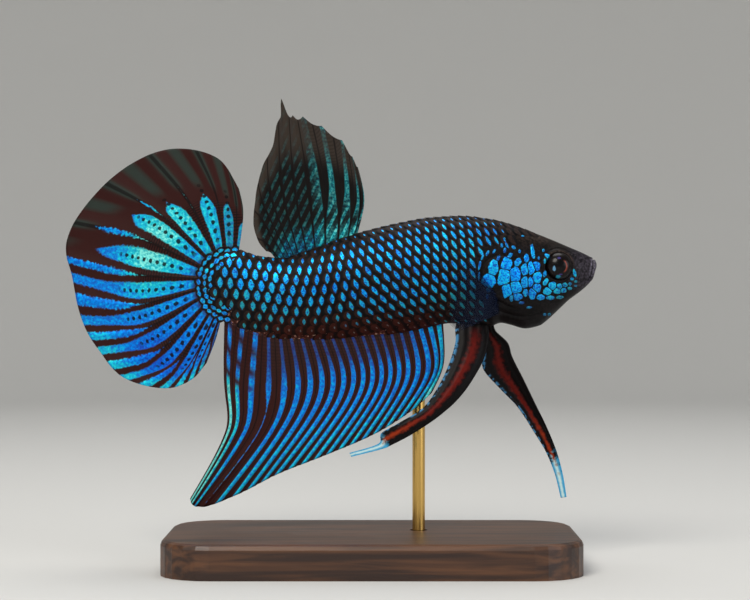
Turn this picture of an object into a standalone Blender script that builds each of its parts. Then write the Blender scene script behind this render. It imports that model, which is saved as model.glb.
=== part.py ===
"""Wild-type betta (Siamese fighting fish), life size, swimming, held on a plain display stand.

Row frame: metres, +Z up, +X towards the head, the origin at the centre of the stand's underside.
Every size below is in millimetres. A place on the fish is given as (back, up): back is the
distance behind the tip of the snout, up is the height above it.
"""

import math

import bmesh
import bpy
from mathutils import Matrix, Vector

MM = 0.001

# The stand, and where it holds the fish
BASE_LENGTH = 48.0
BASE_DEPTH = 27.0
BASE_HEIGHT = 4.0
BASE_CORNER = 6.0
BASE_CORNER_STEPS = 6
BASE_EDGE = 0.6
BASE_EDGE_STEPS = 2
ROD_X = 5.5
ROD_Y = 1.9
ROD_RADIUS = 0.75
ROD_SIDES = 20
ROD_FOOT = 1.8
ROD_TOP = 33.2
SNOUT_X = 26.3
SNOUT_Z = 35.2

# Clearances between neighbouring pieces, and the thickness of fins
GAP = 0.3
FIN_GAP = 0.34
FIN_THICKNESS = 0.5
PLEAT = 0.1

# The body: heights of the back and the belly, and the half width, against the distance back.
BODY_LENGTH = 46.8
BACK_LINE = [(0.0, 0.05), (0.15, 0.45), (0.4, 0.75), (1.4, 1.32), (3.2, 2.12), (5.5, 3.13),
             (7.8, 4.05), (10.2, 4.9), (12.5, 5.45), (16.0, 5.78), (19.5, 5.6), (23.0, 5.0),
             (26.6, 4.15), (30.1, 3.15), (33.6, 1.87), (37.1, 0.9), (39.4, 1.1), (41.8, 1.9)]
BELLY_LINE = [(0.0, -0.4), (0.15, -0.75), (0.4, -1.5), (0.8, -2.1), (2.0, -3.2), (3.2, -4.1),
              (4.3, -5.15), (5.5, -6.3), (6.7, -7.2), (8.4, -7.55), (10.2, -7.1), (11.2, -6.9),
              (12.5, -7.3), (14.9, -7.15), (17.2, -6.95), (19.5, -7.4), (23.0, -8.1),
              (26.6, -8.45), (30.1, -8.8), (34.7, -8.9), (37.1, -8.8), (39.4, -8.4),
              (41.8, -7.6), (43.0, -6.9)]
FLANK_LINE = [(0.0, -0.15), (2.0, -0.6), (5.0, -0.9), (10.0, -1.2), (16.0, -0.8), (23.0, -1.3),
              (30.0, -2.1), (37.0, -3.3), (42.0, -2.8), (46.8, -2.3)]
HALF_WIDTH = [(0.0, 0.25), (0.15, 0.6), (0.4, 0.85), (0.8, 1.12), (2.0, 1.65), (3.2, 2.08),
              (4.3, 2.42), (5.5, 2.72), (7.0, 3.1), (8.4, 3.42), (10.2, 3.78), (12.5, 3.95),
              (16.0, 3.95), (19.5, 3.8), (23.0, 3.55), (26.6, 3.25), (30.0, 2.9), (34.0, 2.4),
              (37.0, 2.0), (40.0, 1.5), (42.0, 1.15), (44.0, 0.8), (45.5, 0.52),
              (46.5, 0.32), (46.8, 0.2)]
# How sharply a section closes: 0.5 is round, 1 is a wedge.
BACK_EDGE = [(0.0, 0.5), (6.0, 0.44), (12.0, 0.46), (22.0, 0.55), (36.0, 0.6), (46.8, 0.6)]
BELLY_EDGE = [(0.0, 0.5), (5.0, 0.58), (9.0, 0.62), (13.0, 0.55), (16.0, 0.58), (19.5, 0.85),
              (24.0, 0.95), (40.0, 0.95), (46.8, 0.6)]
# The back and belly run into the round end that carries the tail fin at these distances.
BACK_LINE_END = 42.6
BELLY_LINE_END = 43.0
TAIL_ROOT_BACK = 42.55
TAIL_ROOT_UP = -2.3
TAIL_ROOT_RADIUS = 4.25
# The tail bends gently away to the fish's left.
SWAY_START = 28.0
SWAY_RATE = 0.0032

RING_COUNT = {"head": 15, "trunk_front": 7, "trunk_rear": 8, "tail_stem": 10}
RING_POINTS = 28
# The first and last rings stop this short of the very ends, where a section has no size.
BLUNT_END = 0.03
CUTS = [14.2, 24.0, 37.0]

# The head's own pieces
EYE_BACK = 4.65
EYE_UP = -0.2
EYE_SIDE = 2.0
EYE_RADIUS = 1.65
EYE_BULGE = 1.15
EYE_SEGMENTS = 20
EYE_RINGS = 10
JAW_OUTLINE = [(-1.0, 0.95), (0.55, 0.78), (0.95, -1.1), (2.6, -2.5), (4.6, -4.9), (5.4, -7.6),
               (-1.0, -7.6)]
GILL_COVER = [(11.0, 1.0), (12.6, 0.6), (13.5, -0.5), (13.6, -1.9), (12.8, -3.1), (11.2, -4.4),
              (9.6, -5.0), (7.9, -5.1), (7.2, -4.3), (7.8, -2.6), (8.7, -0.8), (9.6, 0.5)]
GILL_COVER_SIDES = 30
GILL_COVER_INSIDE = 2.3
# Cutters for the head's pieces reach this far to each side, past the body's widest point.
CUTTER_SIDE = 9.0

# Rays of the tail fin, from its upper edge to its lower one: where each leaves the round end
# of the body, as an angle above straight back, then its middle and tip (back, up).
TAIL_RAYS = [(99, (41.4, 6.0), (41.9, 8.9)), (83, (43.3, 7.5), (44.5, 12.6)),
             (67, (46.0, 8.1), (49.8, 13.7)), (52, (49.8, 6.7), (55.2, 11.7)),
             (37, (52.6, 5.1), (60.0, 7.4)), (20, (54.4, 1.0), (62.6, 2.8)),
             (3, (54.4, -3.0), (61.9, -1.4)), (-13, (54.0, -6.2), (60.7, -6.5)),
             (-27, (52.4, -8.8), (58.6, -10.1)), (-41, (50.6, -11.3), (55.6, -13.3)),
             (-53, (48.0, -11.4), (50.8, -14.5)), (-63, (46.4, -10.4), (47.6, -13.5)),
             (-69, (44.65, -8.7), (45.7, -11.4))]
TAIL_ROWS = 8
TAIL_COLUMNS_PER_RAY = 3

# Rays of the anal fin, from its front edge: (number, root back, middle, tip)
ANAL_RAYS = [(-0.5, 18.0, (17.9, -11.4), (19.3, -14.9)), (1, 19.6, (18.8, -12.1), (21.5, -16.9)),
             (4, 23.0, (22.2, -13.3), (25.9, -19.7)), (8, 27.5, (26.4, -14.2), (31.4, -22.1)),
             (12, 32.2, (31.1, -15.2), (37.4, -24.5)), (15, 35.8, (35.4, -16.5), (42.3, -27.0)),
             (17, 38.4, (38.8, -17.9), (46.2, -28.4)), (18, 39.9, (40.5, -17.9), (47.1, -28.35)),
             (19, 41.5, (41.8, -17.8), (47.5, -28.05)), (20.5, 43.6, (43.0, -17.7), (47.65, -27.5))]
# How far the upper part of the rear rays bulges back: (ray number, bulge)
ANAL_LOBE = [(15.5, 0.0), (17.0, 0.3), (19.0, 0.85), (20.5, 0.85)]
ANAL_LOBE_END = 0.55
ANAL_ROWS = 7
ANAL_COLUMNS_PER_RAY = 2

# Rays of the dorsal fin, from its front edge: (number, root back, middle, tip)
DORSAL_RAYS = [(0, 28.1, (27.2, 7.6), (28.0, 11.5)), (1, 28.8, (27.9, 7.6), (28.6, 12.7)),
               (2, 29.6, (29.2, 8.8), (29.8, 14.6)), (3, 31.1, (31.0, 9.4), (32.2, 16.3)),
               (4, 32.4, (32.9, 9.9), (34.4, 17.4)), (5, 33.4, (34.7, 9.6), (35.6, 17.55)),
               (6, 34.4, (36.1, 9.4), (36.45, 17.5)), (6.4, 34.75, (36.7, 9.2), (37.1, 17.1)),
               (6.7, 34.95, (37.1, 8.9), (37.45, 16.4)), (7, 35.1, (37.5, 8.4), (37.85, 14.2)),
               (8, 35.6, (38.5, 7.3), (39.2, 11.3)), (9, 36.1, (39.0, 6.0), (39.95, 7.9)),
               (10, 36.6, (38.9, 3.8), (40.2, 4.9)), (10.6, 37.0, (38.6, 2.3), (39.6, 2.75)),
               (11, 37.4, (38.1, 1.4), (38.7, 1.62))]
DORSAL_ROWS = 8
DORSAL_COLUMNS = 26
# Where the columns fall: (share of the columns, ray number), closest together at the filament
DORSAL_SPREAD = [(0.0, 0.0), (0.4, 5.5), (0.6, 6.5), (1.0, 11.0)]
DORSAL_FILAMENT_RAY = 6.0
DORSAL_FILAMENT = (0.5, 2.0)
DORSAL_FILAMENT_SPREAD = 0.18

# Pelvic fins, from root to tip: front edge (back, up), rear edge (back, up), distance out.
PELVIC_RIGHT = [((12.7, -7.75), (16.6, -7.5), 1.2), ((13.0, -9.9), (16.6, -9.1), 1.7),
                ((14.0, -12.2), (17.4, -11.7), 2.3), ((16.0, -15.1), (18.7, -14.3), 2.9),
                ((18.5, -17.4), (20.4, -16.6), 3.3), ((21.6, -19.5), (23.2, -18.3), 3.5),
                ((24.0, -20.8), (25.2, -19.45), 3.5), ((25.2, -21.3), (25.6, -20.7), 3.45),
                ((28.7, -22.2), (28.9, -21.75), 3.3)]
PELVIC_LEFT = [((11.8, -7.75), (13.7, -7.8), 1.2), ((10.3, -9.2), (13.2, -10.2), 1.9),
               ((9.7, -10.9), (13.1, -12.3), 2.6), ((8.3, -13.6), (11.1, -14.6), 3.7),
               ((6.8, -16.6), (8.8, -17.0), 4.8), ((5.4, -19.3), (6.7, -20.2), 5.7),
               ((4.2, -22.1), (5.4, -22.4), 6.4), ((3.4, -24.9), (4.3, -25.1), 6.8),
               ((2.9, -27.8), (3.6, -27.9), 7.0)]
PELVIC_ROWS = 14
PELVIC_COLUMNS = 3
PELVIC_KEEL = 0.35
PELVIC_KEEL_END = 0.77

# Pectoral fins: the root's upper and lower end, the rays' tips, and how far those stand out.
PECTORAL_ROOT = [(11.75, -3.7), (11.6, -5.6)]
PECTORAL_TIPS = [(15.2, 0.4), (16.3, -0.5), (17.0, -2.4), (17.4, -4.6), (17.3, -6.5), (16.3, -7.7)]
PECTORAL_ROOT_SIDE = 0.65
PECTORAL_TIP_SIDE = 5.3
PECTORAL_CUP = 0.45
PECTORAL_COLUMNS = 12
PECTORAL_ROWS = 5


def smooth_line(points):
    """A function of one number through (x, value) points, with no overshoot between them."""
    xs = [p[0] for p in points]
    ys = [p[1] for p in points]
    steps = [(ys[i + 1] - ys[i]) / (xs[i + 1] - xs[i]) for i in range(len(xs) - 1)]
    slopes = [steps[0]]
    for before, after in zip(steps, steps[1:]):
        turning = before * after <= 0
        slopes.append(0.0 if turning else 2 * before * after / (before + after))
    slopes.append(steps[-1])

    def value(x):
        x = min(max(x, xs[0]), xs[-1])
        i = 0
        while i < len(xs) - 2 and x > xs[i + 1]:
            i += 1
        width = xs[i + 1] - xs[i]
        t = (x - xs[i]) / width
        return ((1 + 2 * t) * (1 - t) ** 2 * ys[i] + t * (1 - t) ** 2 * width * slopes[i]
                + t * t * (3 - 2 * t) * ys[i + 1] + t * t * (t - 1) * width * slopes[i + 1])

    return value


def rounded_path(points, closed=False):
    """A function of 0 to 1 along a smooth path through the points, or round them."""
    path = [points[-1]] + points + points[:2] if closed else points[:1] + points + points[-1:]
    spans = len(path) - 3

    def at(share):
        i = min(int(share * spans), spans - 1)
        t = share * spans - i
        p0, p1, p2, p3 = path[i:i + 4]
        return tuple(0.5 * (2 * b + (c - a) * t + (2 * a - 5 * b + 4 * c - d) * t * t
                            + (3 * b - a - 3 * c + d) * t ** 3)
                     for a, b, c, d in zip(p0, p1, p2, p3))

    return at


back_line = smooth_line(BACK_LINE)
belly_line = smooth_line(BELLY_LINE)
flank_line = smooth_line(FLANK_LINE)
half_width = smooth_line(HALF_WIDTH)
back_edge = smooth_line(BACK_EDGE)
belly_edge = smooth_line(BELLY_EDGE)


def root_height(back):
    """Half the height of the round end that carries the tail fin, or 0 behind it."""
    return math.sqrt(max(TAIL_ROOT_RADIUS ** 2 - (back - TAIL_ROOT_BACK) ** 2, 0.0))


def top_of_body(back):
    return back_line(back) if back < BACK_LINE_END else TAIL_ROOT_UP + root_height(back)


def bottom_of_body(back):
    return belly_line(back) if back < BELLY_LINE_END else TAIL_ROOT_UP - root_height(back)


def sway(back):
    """How far the fish's middle plane lies to its left at this distance back."""
    return SWAY_RATE * max(back - SWAY_START, 0.0) ** 2


def place(back, up, side=0.0):
    """The point in metres, in the row frame. side is measured from the fish's middle plane."""
    return Vector((SNOUT_X - back, side + sway(back), SNOUT_Z + up)) * MM


def section_half(back, above):
    """The upper or lower half of a section: its height, and how sharply it closes."""
    if above:
        return top_of_body(back) - flank_line(back), back_edge(back)
    return flank_line(back) - bottom_of_body(back), belly_edge(back)


def side_of_body(back, up):
    """The body's half width at this height."""
    reach, edge = section_half(back, up > flank_line(back))
    high = (up - flank_line(back)) / reach
    return half_width(back) * max(1 - high * high, 0.0) ** edge


def body_ring(back):
    """One section of the body, as points round it."""
    points = []
    for i in range(RING_POINTS):
        turn = 2 * math.pi * i / RING_POINTS
        reach, edge = section_half(back, math.sin(turn) > 0)
        side = half_width(back) * math.copysign(abs(math.cos(turn)) ** (2 * edge), math.cos(turn))
        points.append(place(back, flank_line(back) + reach * math.sin(turn), side))
    return points


def ring_places(start, end, count):
    """Distances back for the rings, closer together at the snout and the tail root."""
    turn = [math.acos(1 - 2 * b / BODY_LENGTH) for b in (start, end)]
    return [BODY_LENGTH * (1 - math.cos(turn[0] + (turn[1] - turn[0]) * i / (count - 1))) / 2
            for i in range(count)]


def new_object(name, mesh_data, material=None):
    obj = bpy.data.objects.new(name, mesh_data)
    (parts if material else cutters).objects.link(obj)
    if material:
        mesh_data.materials.append(material)
    else:
        obj.hide_render = True
        obj.display_type = "WIRE"
    return obj


def finish_mesh(name, bm, material=None, smooth_angle=40.0):
    bmesh.ops.recalc_face_normals(bm, faces=bm.faces)
    mesh = bpy.data.meshes.new(name)
    bm.to_mesh(mesh)
    bm.free()
    if smooth_angle:
        mesh.shade_smooth()
        mesh.set_sharp_from_angle(angle=math.radians(smooth_angle))
    return new_object(name, mesh, material)


def body_length_of(name, start, end, material=None):
    """A length of the body as a closed solid, with flat faces where it is parted."""
    bm = bmesh.new()
    rings = []
    for back in ring_places(start, end, RING_COUNT[name]):
        back = min(max(back, BLUNT_END), BODY_LENGTH - BLUNT_END)
        rings.append([bm.verts.new(p) for p in body_ring(back)])
    for near, far in zip(rings, rings[1:]):
        for i in range(RING_POINTS):
            j = (i + 1) % RING_POINTS
            bm.faces.new((near[i], near[j], far[j], far[i]))
    bm.faces.new(rings[0])
    bm.faces.new(list(reversed(rings[-1])))
    bmesh.ops.dissolve_degenerate(bm, dist=1e-6, edges=bm.edges)
    return finish_mesh(name, bm, material)


def prism(name, outline, near_side, far_side):
    """A cutter: a flat outline of (back, up) points, pushed through from one side to the other."""
    bm = bmesh.new()
    near = [bm.verts.new(place(back, up, near_side)) for back, up in outline]
    face = bm.faces.new(near)
    pushed = bmesh.ops.extrude_face_region(bm, geom=[face])
    moved = [v for v in pushed["geom"] if isinstance(v, bmesh.types.BMVert)]
    bmesh.ops.translate(bm, verts=moved, vec=Vector((0, far_side - near_side, 0)) * MM)
    return finish_mesh(name, bm, smooth_angle=None)


def grown(outline, amount):
    """The outline moved outwards by an amount, corner by corner."""
    area = sum(a[0] * b[1] - b[0] * a[1] for a, b in zip(outline, outline[1:] + outline[:1]))
    turn = math.copysign(1.0, area)
    result = []
    for before, here, after in zip(outline[-1:] + outline[:-1], outline, outline[1:] + outline[:1]):
        first = Vector((here[1] - before[1], before[0] - here[0])).normalized() * turn
        second = Vector((after[1] - here[1], here[0] - after[0])).normalized() * turn
        middle = (first + second).normalized()
        reach = amount / max(middle.dot(first), 0.4)
        result.append((here[0] + middle.x * reach, here[1] + middle.y * reach))
    return result


def cut(obj, cutter, operation="DIFFERENCE"):
    modifier = obj.modifiers.new(f"{operation}_{cutter.name}", "BOOLEAN")
    modifier.operation = operation
    modifier.solver = "EXACT"
    modifier.object = cutter


def plain_material(name, colour, roughness, metallic=0.0):
    material = bpy.data.materials.new(name)
    material.use_nodes = True
    shader = material.node_tree.nodes["Principled BSDF"]
    shader.inputs["Base Color"].default_value = (*colour, 1.0)
    shader.inputs["Roughness"].default_value = roughness
    shader.inputs["Metallic"].default_value = metallic
    return material


def eye_ball(name, side, extra=0.0, material=None):
    """A flattened ball; extra makes the socket larger than the eye."""
    bm = bmesh.new()
    bmesh.ops.create_uvsphere(bm, u_segments=EYE_SEGMENTS, v_segments=EYE_RINGS, radius=MM)
    bmesh.ops.rotate(bm, verts=bm.verts, cent=(0, 0, 0),
                     matrix=Matrix(((1, 0, 0), (0, 0, -1), (0, 1, 0))))
    bmesh.ops.scale(bm, verts=bm.verts,
                    vec=(EYE_RADIUS + extra, EYE_BULGE + extra, EYE_RADIUS + extra))
    bmesh.ops.translate(bm, verts=bm.verts, vec=place(EYE_BACK, EYE_UP, side * EYE_SIDE))
    return finish_mesh(name, bm, material, smooth_angle=80.0)


def make_head(skin, eye):
    """The head, with its jaw, gill covers and eyes fitted into it at a narrow gap."""
    start, end = 0.0, CUTS[0]
    whole = body_length_of("head", start, end, skin)
    jaw_piece = body_length_of("head", start, end, skin)
    jaw_piece.name = "jaw"
    cut(jaw_piece, prism("jaw_region", JAW_OUTLINE, -CUTTER_SIDE, CUTTER_SIDE), "INTERSECT")
    cut(whole, prism("jaw_clearance", grown(JAW_OUTLINE, GAP), -CUTTER_SIDE, CUTTER_SIDE))
    for word, side in (("right", -1), ("left", 1)):
        cover = body_length_of("head", start, end, skin)
        cover.name = f"gill_cover_{word}"
        rim = rounded_path(GILL_COVER, closed=True)
        outline = [rim(i / GILL_COVER_SIDES) for i in range(GILL_COVER_SIDES)]
        inner = side * GILL_COVER_INSIDE
        cut(cover, prism(f"cover_region_{word}", outline, inner, side * CUTTER_SIDE), "INTERSECT")
        cut(whole, prism(f"cover_pocket_{word}", grown(outline, GAP), inner - side * GAP,
                         side * CUTTER_SIDE))
        cut(whole, eye_ball(f"eye_socket_{word}", side, extra=GAP))
        eye_ball(f"eye_{word}", side, material=eye)


def make_trunk(skin):
    """The rest of the body in three lengths; the rod is seated in a socket in the first."""
    names = ("trunk_front", "trunk_rear", "tail_stem")
    for name, start, end in zip(names, CUTS, CUTS[1:] + [BODY_LENGTH]):
        piece = body_length_of(name, start + GAP, end, skin)
        if name == "trunk_front":
            cut(piece, rod_shape("rod_socket", ROD_RADIUS + GAP, ROD_TOP + GAP, BASE_HEIGHT))


def rod_shape(name, radius, top, foot, material=None):
    """An upright cylinder on the rod's axis, from foot to top."""
    bm = bmesh.new()
    bmesh.ops.create_cone(bm, cap_ends=True, segments=ROD_SIDES, radius1=radius * MM,
                          radius2=radius * MM, depth=(top - foot) * MM)
    bmesh.ops.translate(bm, verts=bm.verts,
                        vec=Vector((ROD_X, ROD_Y, (top + foot) / 2)) * MM)
    return finish_mesh(name, bm, material)


def ray_point(root, middle, tip, share):
    """A point on the ray from root to tip that bends at middle, as a cubic curve."""
    bend = [(8 * m - r - t) / 6 for r, m, t in zip(root, middle, tip)]
    return tuple((1 - share) ** 3 * r + 3 * share * (1 - share) * b + share ** 3 * t
                 for r, b, t in zip(root, bend, tip))


def fin_sheet(name, columns, rows, point, material, thickness=FIN_THICKNESS):
    """A fin as a thickened sheet. point(across, along) gives a corner, both from 0 to 1."""
    bm = bmesh.new()
    grid = [[bm.verts.new(point(c / columns, r / rows)) for c in range(columns + 1)]
            for r in range(rows + 1)]
    for near, far in zip(grid, grid[1:]):
        for i in range(columns):
            bm.faces.new((near[i], near[i + 1], far[i + 1], far[i]))
    fin = finish_mesh(name, bm, material, smooth_angle=60.0)
    solid = fin.modifiers.new("thickness", "SOLIDIFY")
    solid.thickness = thickness * MM
    solid.offset = 0.0
    return fin


def pleat(across, ray_count):
    """Fins fold a little at each ray: this is the fold's height, to one side or the other."""
    return PLEAT * math.cos(2 * math.pi * across * ray_count)


def make_tail_fin(material):
    """The round tail fin, fanned out from the rounded end of the body."""
    count = len(TAIL_RAYS) - 1
    rays = rounded_path([(angle, *middle, *tip) for angle, middle, tip in TAIL_RAYS])
    reach = TAIL_ROOT_RADIUS + FIN_GAP

    def point(across, along):
        angle, mid_back, mid_up, tip_back, tip_up = rays(across)
        turn = math.radians(angle)
        root = (TAIL_ROOT_BACK + reach * math.cos(turn), TAIL_ROOT_UP + reach * math.sin(turn))
        back, up = ray_point(root, (mid_back, mid_up), (tip_back, tip_up), along)
        return place(back, up, pleat(across, count) * along)

    fin_sheet("fin_tail", count * TAIL_COLUMNS_PER_RAY, TAIL_ROWS, point, material)


def ray_lines(rays):
    """The first and last ray's number, and smooth functions of it for a ray's five numbers."""
    values = [(number, root, *middle, *tip) for number, root, middle, tip in rays]
    lines = [smooth_line([(v[0], v[part]) for v in values]) for part in range(1, 6)]
    return values[0][0], values[-1][0], lines


def make_anal_fin(material):
    """The long anal fin under the belly, its rays swept back to a point."""
    first, last, lines = ray_lines(ANAL_RAYS)
    count = round(last - first)
    lobe = smooth_line(ANAL_LOBE)

    def point(across, along):
        number = first + (last - first) * across
        root_back, mid_back, mid_up, tip_back, tip_up = (f(number) for f in lines)
        root = (root_back, bottom_of_body(root_back) - FIN_GAP)
        back, up = ray_point(root, (mid_back, mid_up), (tip_back, tip_up), along)
        back += lobe(number) * math.sin(math.pi * min(along / ANAL_LOBE_END, 1.0))
        return place(back, up, pleat(across, count) * along)

    fin_sheet("fin_anal", count * ANAL_COLUMNS_PER_RAY, ANAL_ROWS, point, material)


def make_dorsal_fin(material):
    """The tall dorsal fin, with one ray drawn out into a short filament."""
    first, last, lines = ray_lines(DORSAL_RAYS)
    count = round(last - first)
    spread = smooth_line(DORSAL_SPREAD)

    def point(across, along):
        number = spread(across)
        root_back, mid_back, mid_up, tip_back, tip_up = (f(number) for f in lines)
        root = (root_back, top_of_body(root_back) + FIN_GAP)
        share = math.exp(-((number - DORSAL_FILAMENT_RAY) / DORSAL_FILAMENT_SPREAD) ** 2)
        tip = (tip_back + DORSAL_FILAMENT[0] * share, tip_up + DORSAL_FILAMENT[1] * share)
        back, up = ray_point(root, (mid_back, mid_up), tip, along)
        return place(back, up, pleat((number - first) / count, count) * along)

    fin_sheet("fin_dorsal", DORSAL_COLUMNS, DORSAL_ROWS, point, material)


def make_pelvic_fins(material):
    """The two long narrow pelvic fins, one swept back and one hanging forward."""
    for name, side, stations in (("fin_pelvic_right", -1, PELVIC_RIGHT),
                                 ("fin_pelvic_left", 1, PELVIC_LEFT)):
        path = rounded_path([(*front, *rear, out) for front, rear, out in stations])

        def point(across, along):
            front_back, front_up, rear_back, rear_up, out = path(along)
            back = front_back + (rear_back - front_back) * across
            up = front_up + (rear_up - front_up) * across
            flow = math.sin(math.pi * min(along / PELVIC_KEEL_END, 1.0))
            keel = PELVIC_KEEL * math.sin(math.pi * across) * flow
            return place(back, up, side * (out + keel))

        fin_sheet(name, PELVIC_COLUMNS, PELVIC_ROWS, point, material)


def make_pectoral_fins(material):
    """The two small clear pectoral fins, fanned out behind the gill covers."""
    tips = rounded_path(PECTORAL_TIPS)
    (root_back, root_top), (low_back, root_low) = PECTORAL_ROOT
    for name, side in (("fin_pectoral_right", -1), ("fin_pectoral_left", 1)):

        def point(across, along):
            tip_back, tip_up = tips(across)
            root = (root_back + (low_back - root_back) * across,
                    root_top + (root_low - root_top) * across)
            back = root[0] + (tip_back - root[0]) * along
            up = root[1] + (tip_up - root[1]) * along
            root_side = side_of_body(*root) + PECTORAL_ROOT_SIDE
            out = root_side + (PECTORAL_TIP_SIDE - root_side) * math.sin(along * math.pi / 2)
            cup = PECTORAL_CUP * math.sin(math.pi * across) * along
            return place(back, up, side * (out + cup))

        fin_sheet(name, PECTORAL_COLUMNS, PECTORAL_ROWS, point, material)


def make_stand(wood, brass):
    """A flat base and one short rod, both with eased edges; the rod stands in a blind hole."""
    bm = bmesh.new()
    bmesh.ops.create_cube(bm, size=MM)
    bmesh.ops.scale(bm, verts=bm.verts, vec=(BASE_LENGTH, BASE_DEPTH, BASE_HEIGHT))
    bmesh.ops.translate(bm, verts=bm.verts, vec=(0, 0, BASE_HEIGHT * MM / 2))
    upright = [e for e in bm.edges
               if abs(e.verts[0].co.z - e.verts[1].co.z) > BASE_HEIGHT * MM / 2]
    bmesh.ops.bevel(bm, geom=upright, offset=BASE_CORNER * MM, segments=BASE_CORNER_STEPS, affect="EDGES",
                    profile=0.5)
    rim = [e for e in bm.edges if min(v.co.z for v in e.verts) > BASE_HEIGHT * MM * 0.9]
    bmesh.ops.bevel(bm, geom=rim, offset=BASE_EDGE * MM, segments=BASE_EDGE_STEPS, affect="EDGES",
                    profile=0.5)
    base = finish_mesh("stand_base", bm, wood)
    cut(base, rod_shape("base_hole", ROD_RADIUS + GAP, BASE_HEIGHT * 2, ROD_FOOT - GAP))
    rod_shape("stand_rod", ROD_RADIUS, ROD_TOP, ROD_FOOT, brass)


for old in list(bpy.data.objects):
    bpy.data.objects.remove(old)
parts = bpy.data.collections.new("betta_fish")
cutters = bpy.data.collections.new("cutters")
bpy.context.scene.collection.children.link(parts)
bpy.context.scene.collection.children.link(cutters)

skin_material = plain_material("skin", (0.02, 0.16, 0.28), 0.35)
eye_material = plain_material("eye", (0.01, 0.01, 0.015), 0.1)
fin_material = plain_material("fin", (0.03, 0.12, 0.3), 0.4)
pelvic_material = plain_material("pelvic_fin", (0.2, 0.02, 0.015), 0.4)
clear_material = plain_material("clear_fin", (0.1, 0.13, 0.17), 0.35)
wood_material = plain_material("stand_wood", (0.1, 0.05, 0.025), 0.45)
brass_material = plain_material("stand_brass", (0.75, 0.55, 0.25), 0.3, 1.0)

make_head(skin_material, eye_material)
make_trunk(skin_material)
make_tail_fin(fin_material)
make_anal_fin(fin_material)
make_dorsal_fin(fin_material)
make_pelvic_fins(pelvic_material)
make_pectoral_fins(clear_material)
make_stand(wood_material, brass_material)
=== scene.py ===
"""A life-size museum model of a wild-type betta (Siamese fighting fish) on a wood and brass stand.

Sizes are in millimetres unless a name says otherwise. A place on the fish is given as
(back, up): the distance behind the tip of the snout, and the height above it.
"""

import functools
import math

import bpy
import mathutils
import numpy as np
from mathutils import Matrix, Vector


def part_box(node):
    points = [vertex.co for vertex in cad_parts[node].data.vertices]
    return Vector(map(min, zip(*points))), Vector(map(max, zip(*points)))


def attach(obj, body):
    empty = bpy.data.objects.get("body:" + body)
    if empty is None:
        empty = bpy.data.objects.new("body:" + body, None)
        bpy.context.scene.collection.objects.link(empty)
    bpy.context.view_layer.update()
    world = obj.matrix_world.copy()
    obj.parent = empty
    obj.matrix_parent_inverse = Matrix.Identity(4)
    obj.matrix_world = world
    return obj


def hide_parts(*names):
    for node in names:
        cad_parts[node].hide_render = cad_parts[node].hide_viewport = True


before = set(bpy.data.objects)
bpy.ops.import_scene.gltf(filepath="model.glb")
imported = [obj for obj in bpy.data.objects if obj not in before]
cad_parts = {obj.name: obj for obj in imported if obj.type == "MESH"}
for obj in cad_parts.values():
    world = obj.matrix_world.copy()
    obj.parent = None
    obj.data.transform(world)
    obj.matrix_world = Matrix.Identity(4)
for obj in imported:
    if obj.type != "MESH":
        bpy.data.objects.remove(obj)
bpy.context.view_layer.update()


# ------------------------------------------------------------
# The skin: one cast skin of tinted resin from the lips to the root of the tail fin, with the eye
# sockets, nostrils, mouth and gill covers raised in it. It replaces every solid of the flesh.
# It is a grid rolled round the body's sections, closed along the far side and at both ends.
# ------------------------------------------------------------
MM = 0.001
EYE_BACK = 4.65
EYE_UP = -0.2
EYE_SIDE = 2.0
eye_low, eye_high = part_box("eye_right")
eye_middle = (eye_low + eye_high) / 2
SNOUT_X = eye_middle.x / MM + EYE_BACK
SNOUT_Z = eye_middle.z / MM - EYE_UP

BODY_LENGTH = 46.8
BACK_LINE = [(0.0, 0.05), (0.15, 0.45), (0.4, 0.75), (1.4, 1.32), (3.2, 2.12), (5.5, 3.13),
             (7.8, 4.05), (10.2, 4.9), (12.5, 5.45), (16.0, 5.78), (19.5, 5.6), (23.0, 5.0),
             (26.6, 4.15), (30.1, 3.15), (33.6, 1.87), (37.1, 0.9), (39.4, 1.1), (41.8, 1.9)]
BELLY_LINE = [(0.0, -0.4), (0.15, -0.75), (0.4, -1.5), (0.8, -2.1), (2.0, -3.2), (3.2, -4.1),
              (4.3, -5.15), (5.5, -6.3), (6.7, -7.2), (8.4, -7.55), (10.2, -7.1), (11.2, -6.9),
              (12.5, -7.3), (14.9, -7.15), (17.2, -6.95), (19.5, -7.4), (23.0, -8.1),
              (26.6, -8.45), (30.1, -8.8), (34.7, -8.9), (37.1, -8.8), (39.4, -8.4),
              (41.8, -7.6), (43.0, -6.9)]
FLANK_LINE = [(0.0, -0.15), (2.0, -0.6), (5.0, -0.9), (10.0, -1.2), (16.0, -0.8), (23.0, -1.3),
              (30.0, -2.1), (37.0, -3.3), (42.0, -2.8), (46.8, -2.3)]
HALF_WIDTH = [(0.0, 0.25), (0.15, 0.6), (0.4, 0.85), (0.8, 1.12), (2.0, 1.65), (3.2, 2.08),
              (4.3, 2.42), (5.5, 2.72), (7.0, 3.1), (8.4, 3.42), (10.2, 3.78), (12.5, 3.95),
              (16.0, 3.95), (19.5, 3.8), (23.0, 3.55), (26.6, 3.25), (30.0, 2.9), (34.0, 2.4),
              (37.0, 2.0), (40.0, 1.5), (42.0, 1.15), (44.0, 0.8), (45.5, 0.52),
              (46.5, 0.32), (46.8, 0.2)]
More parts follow.
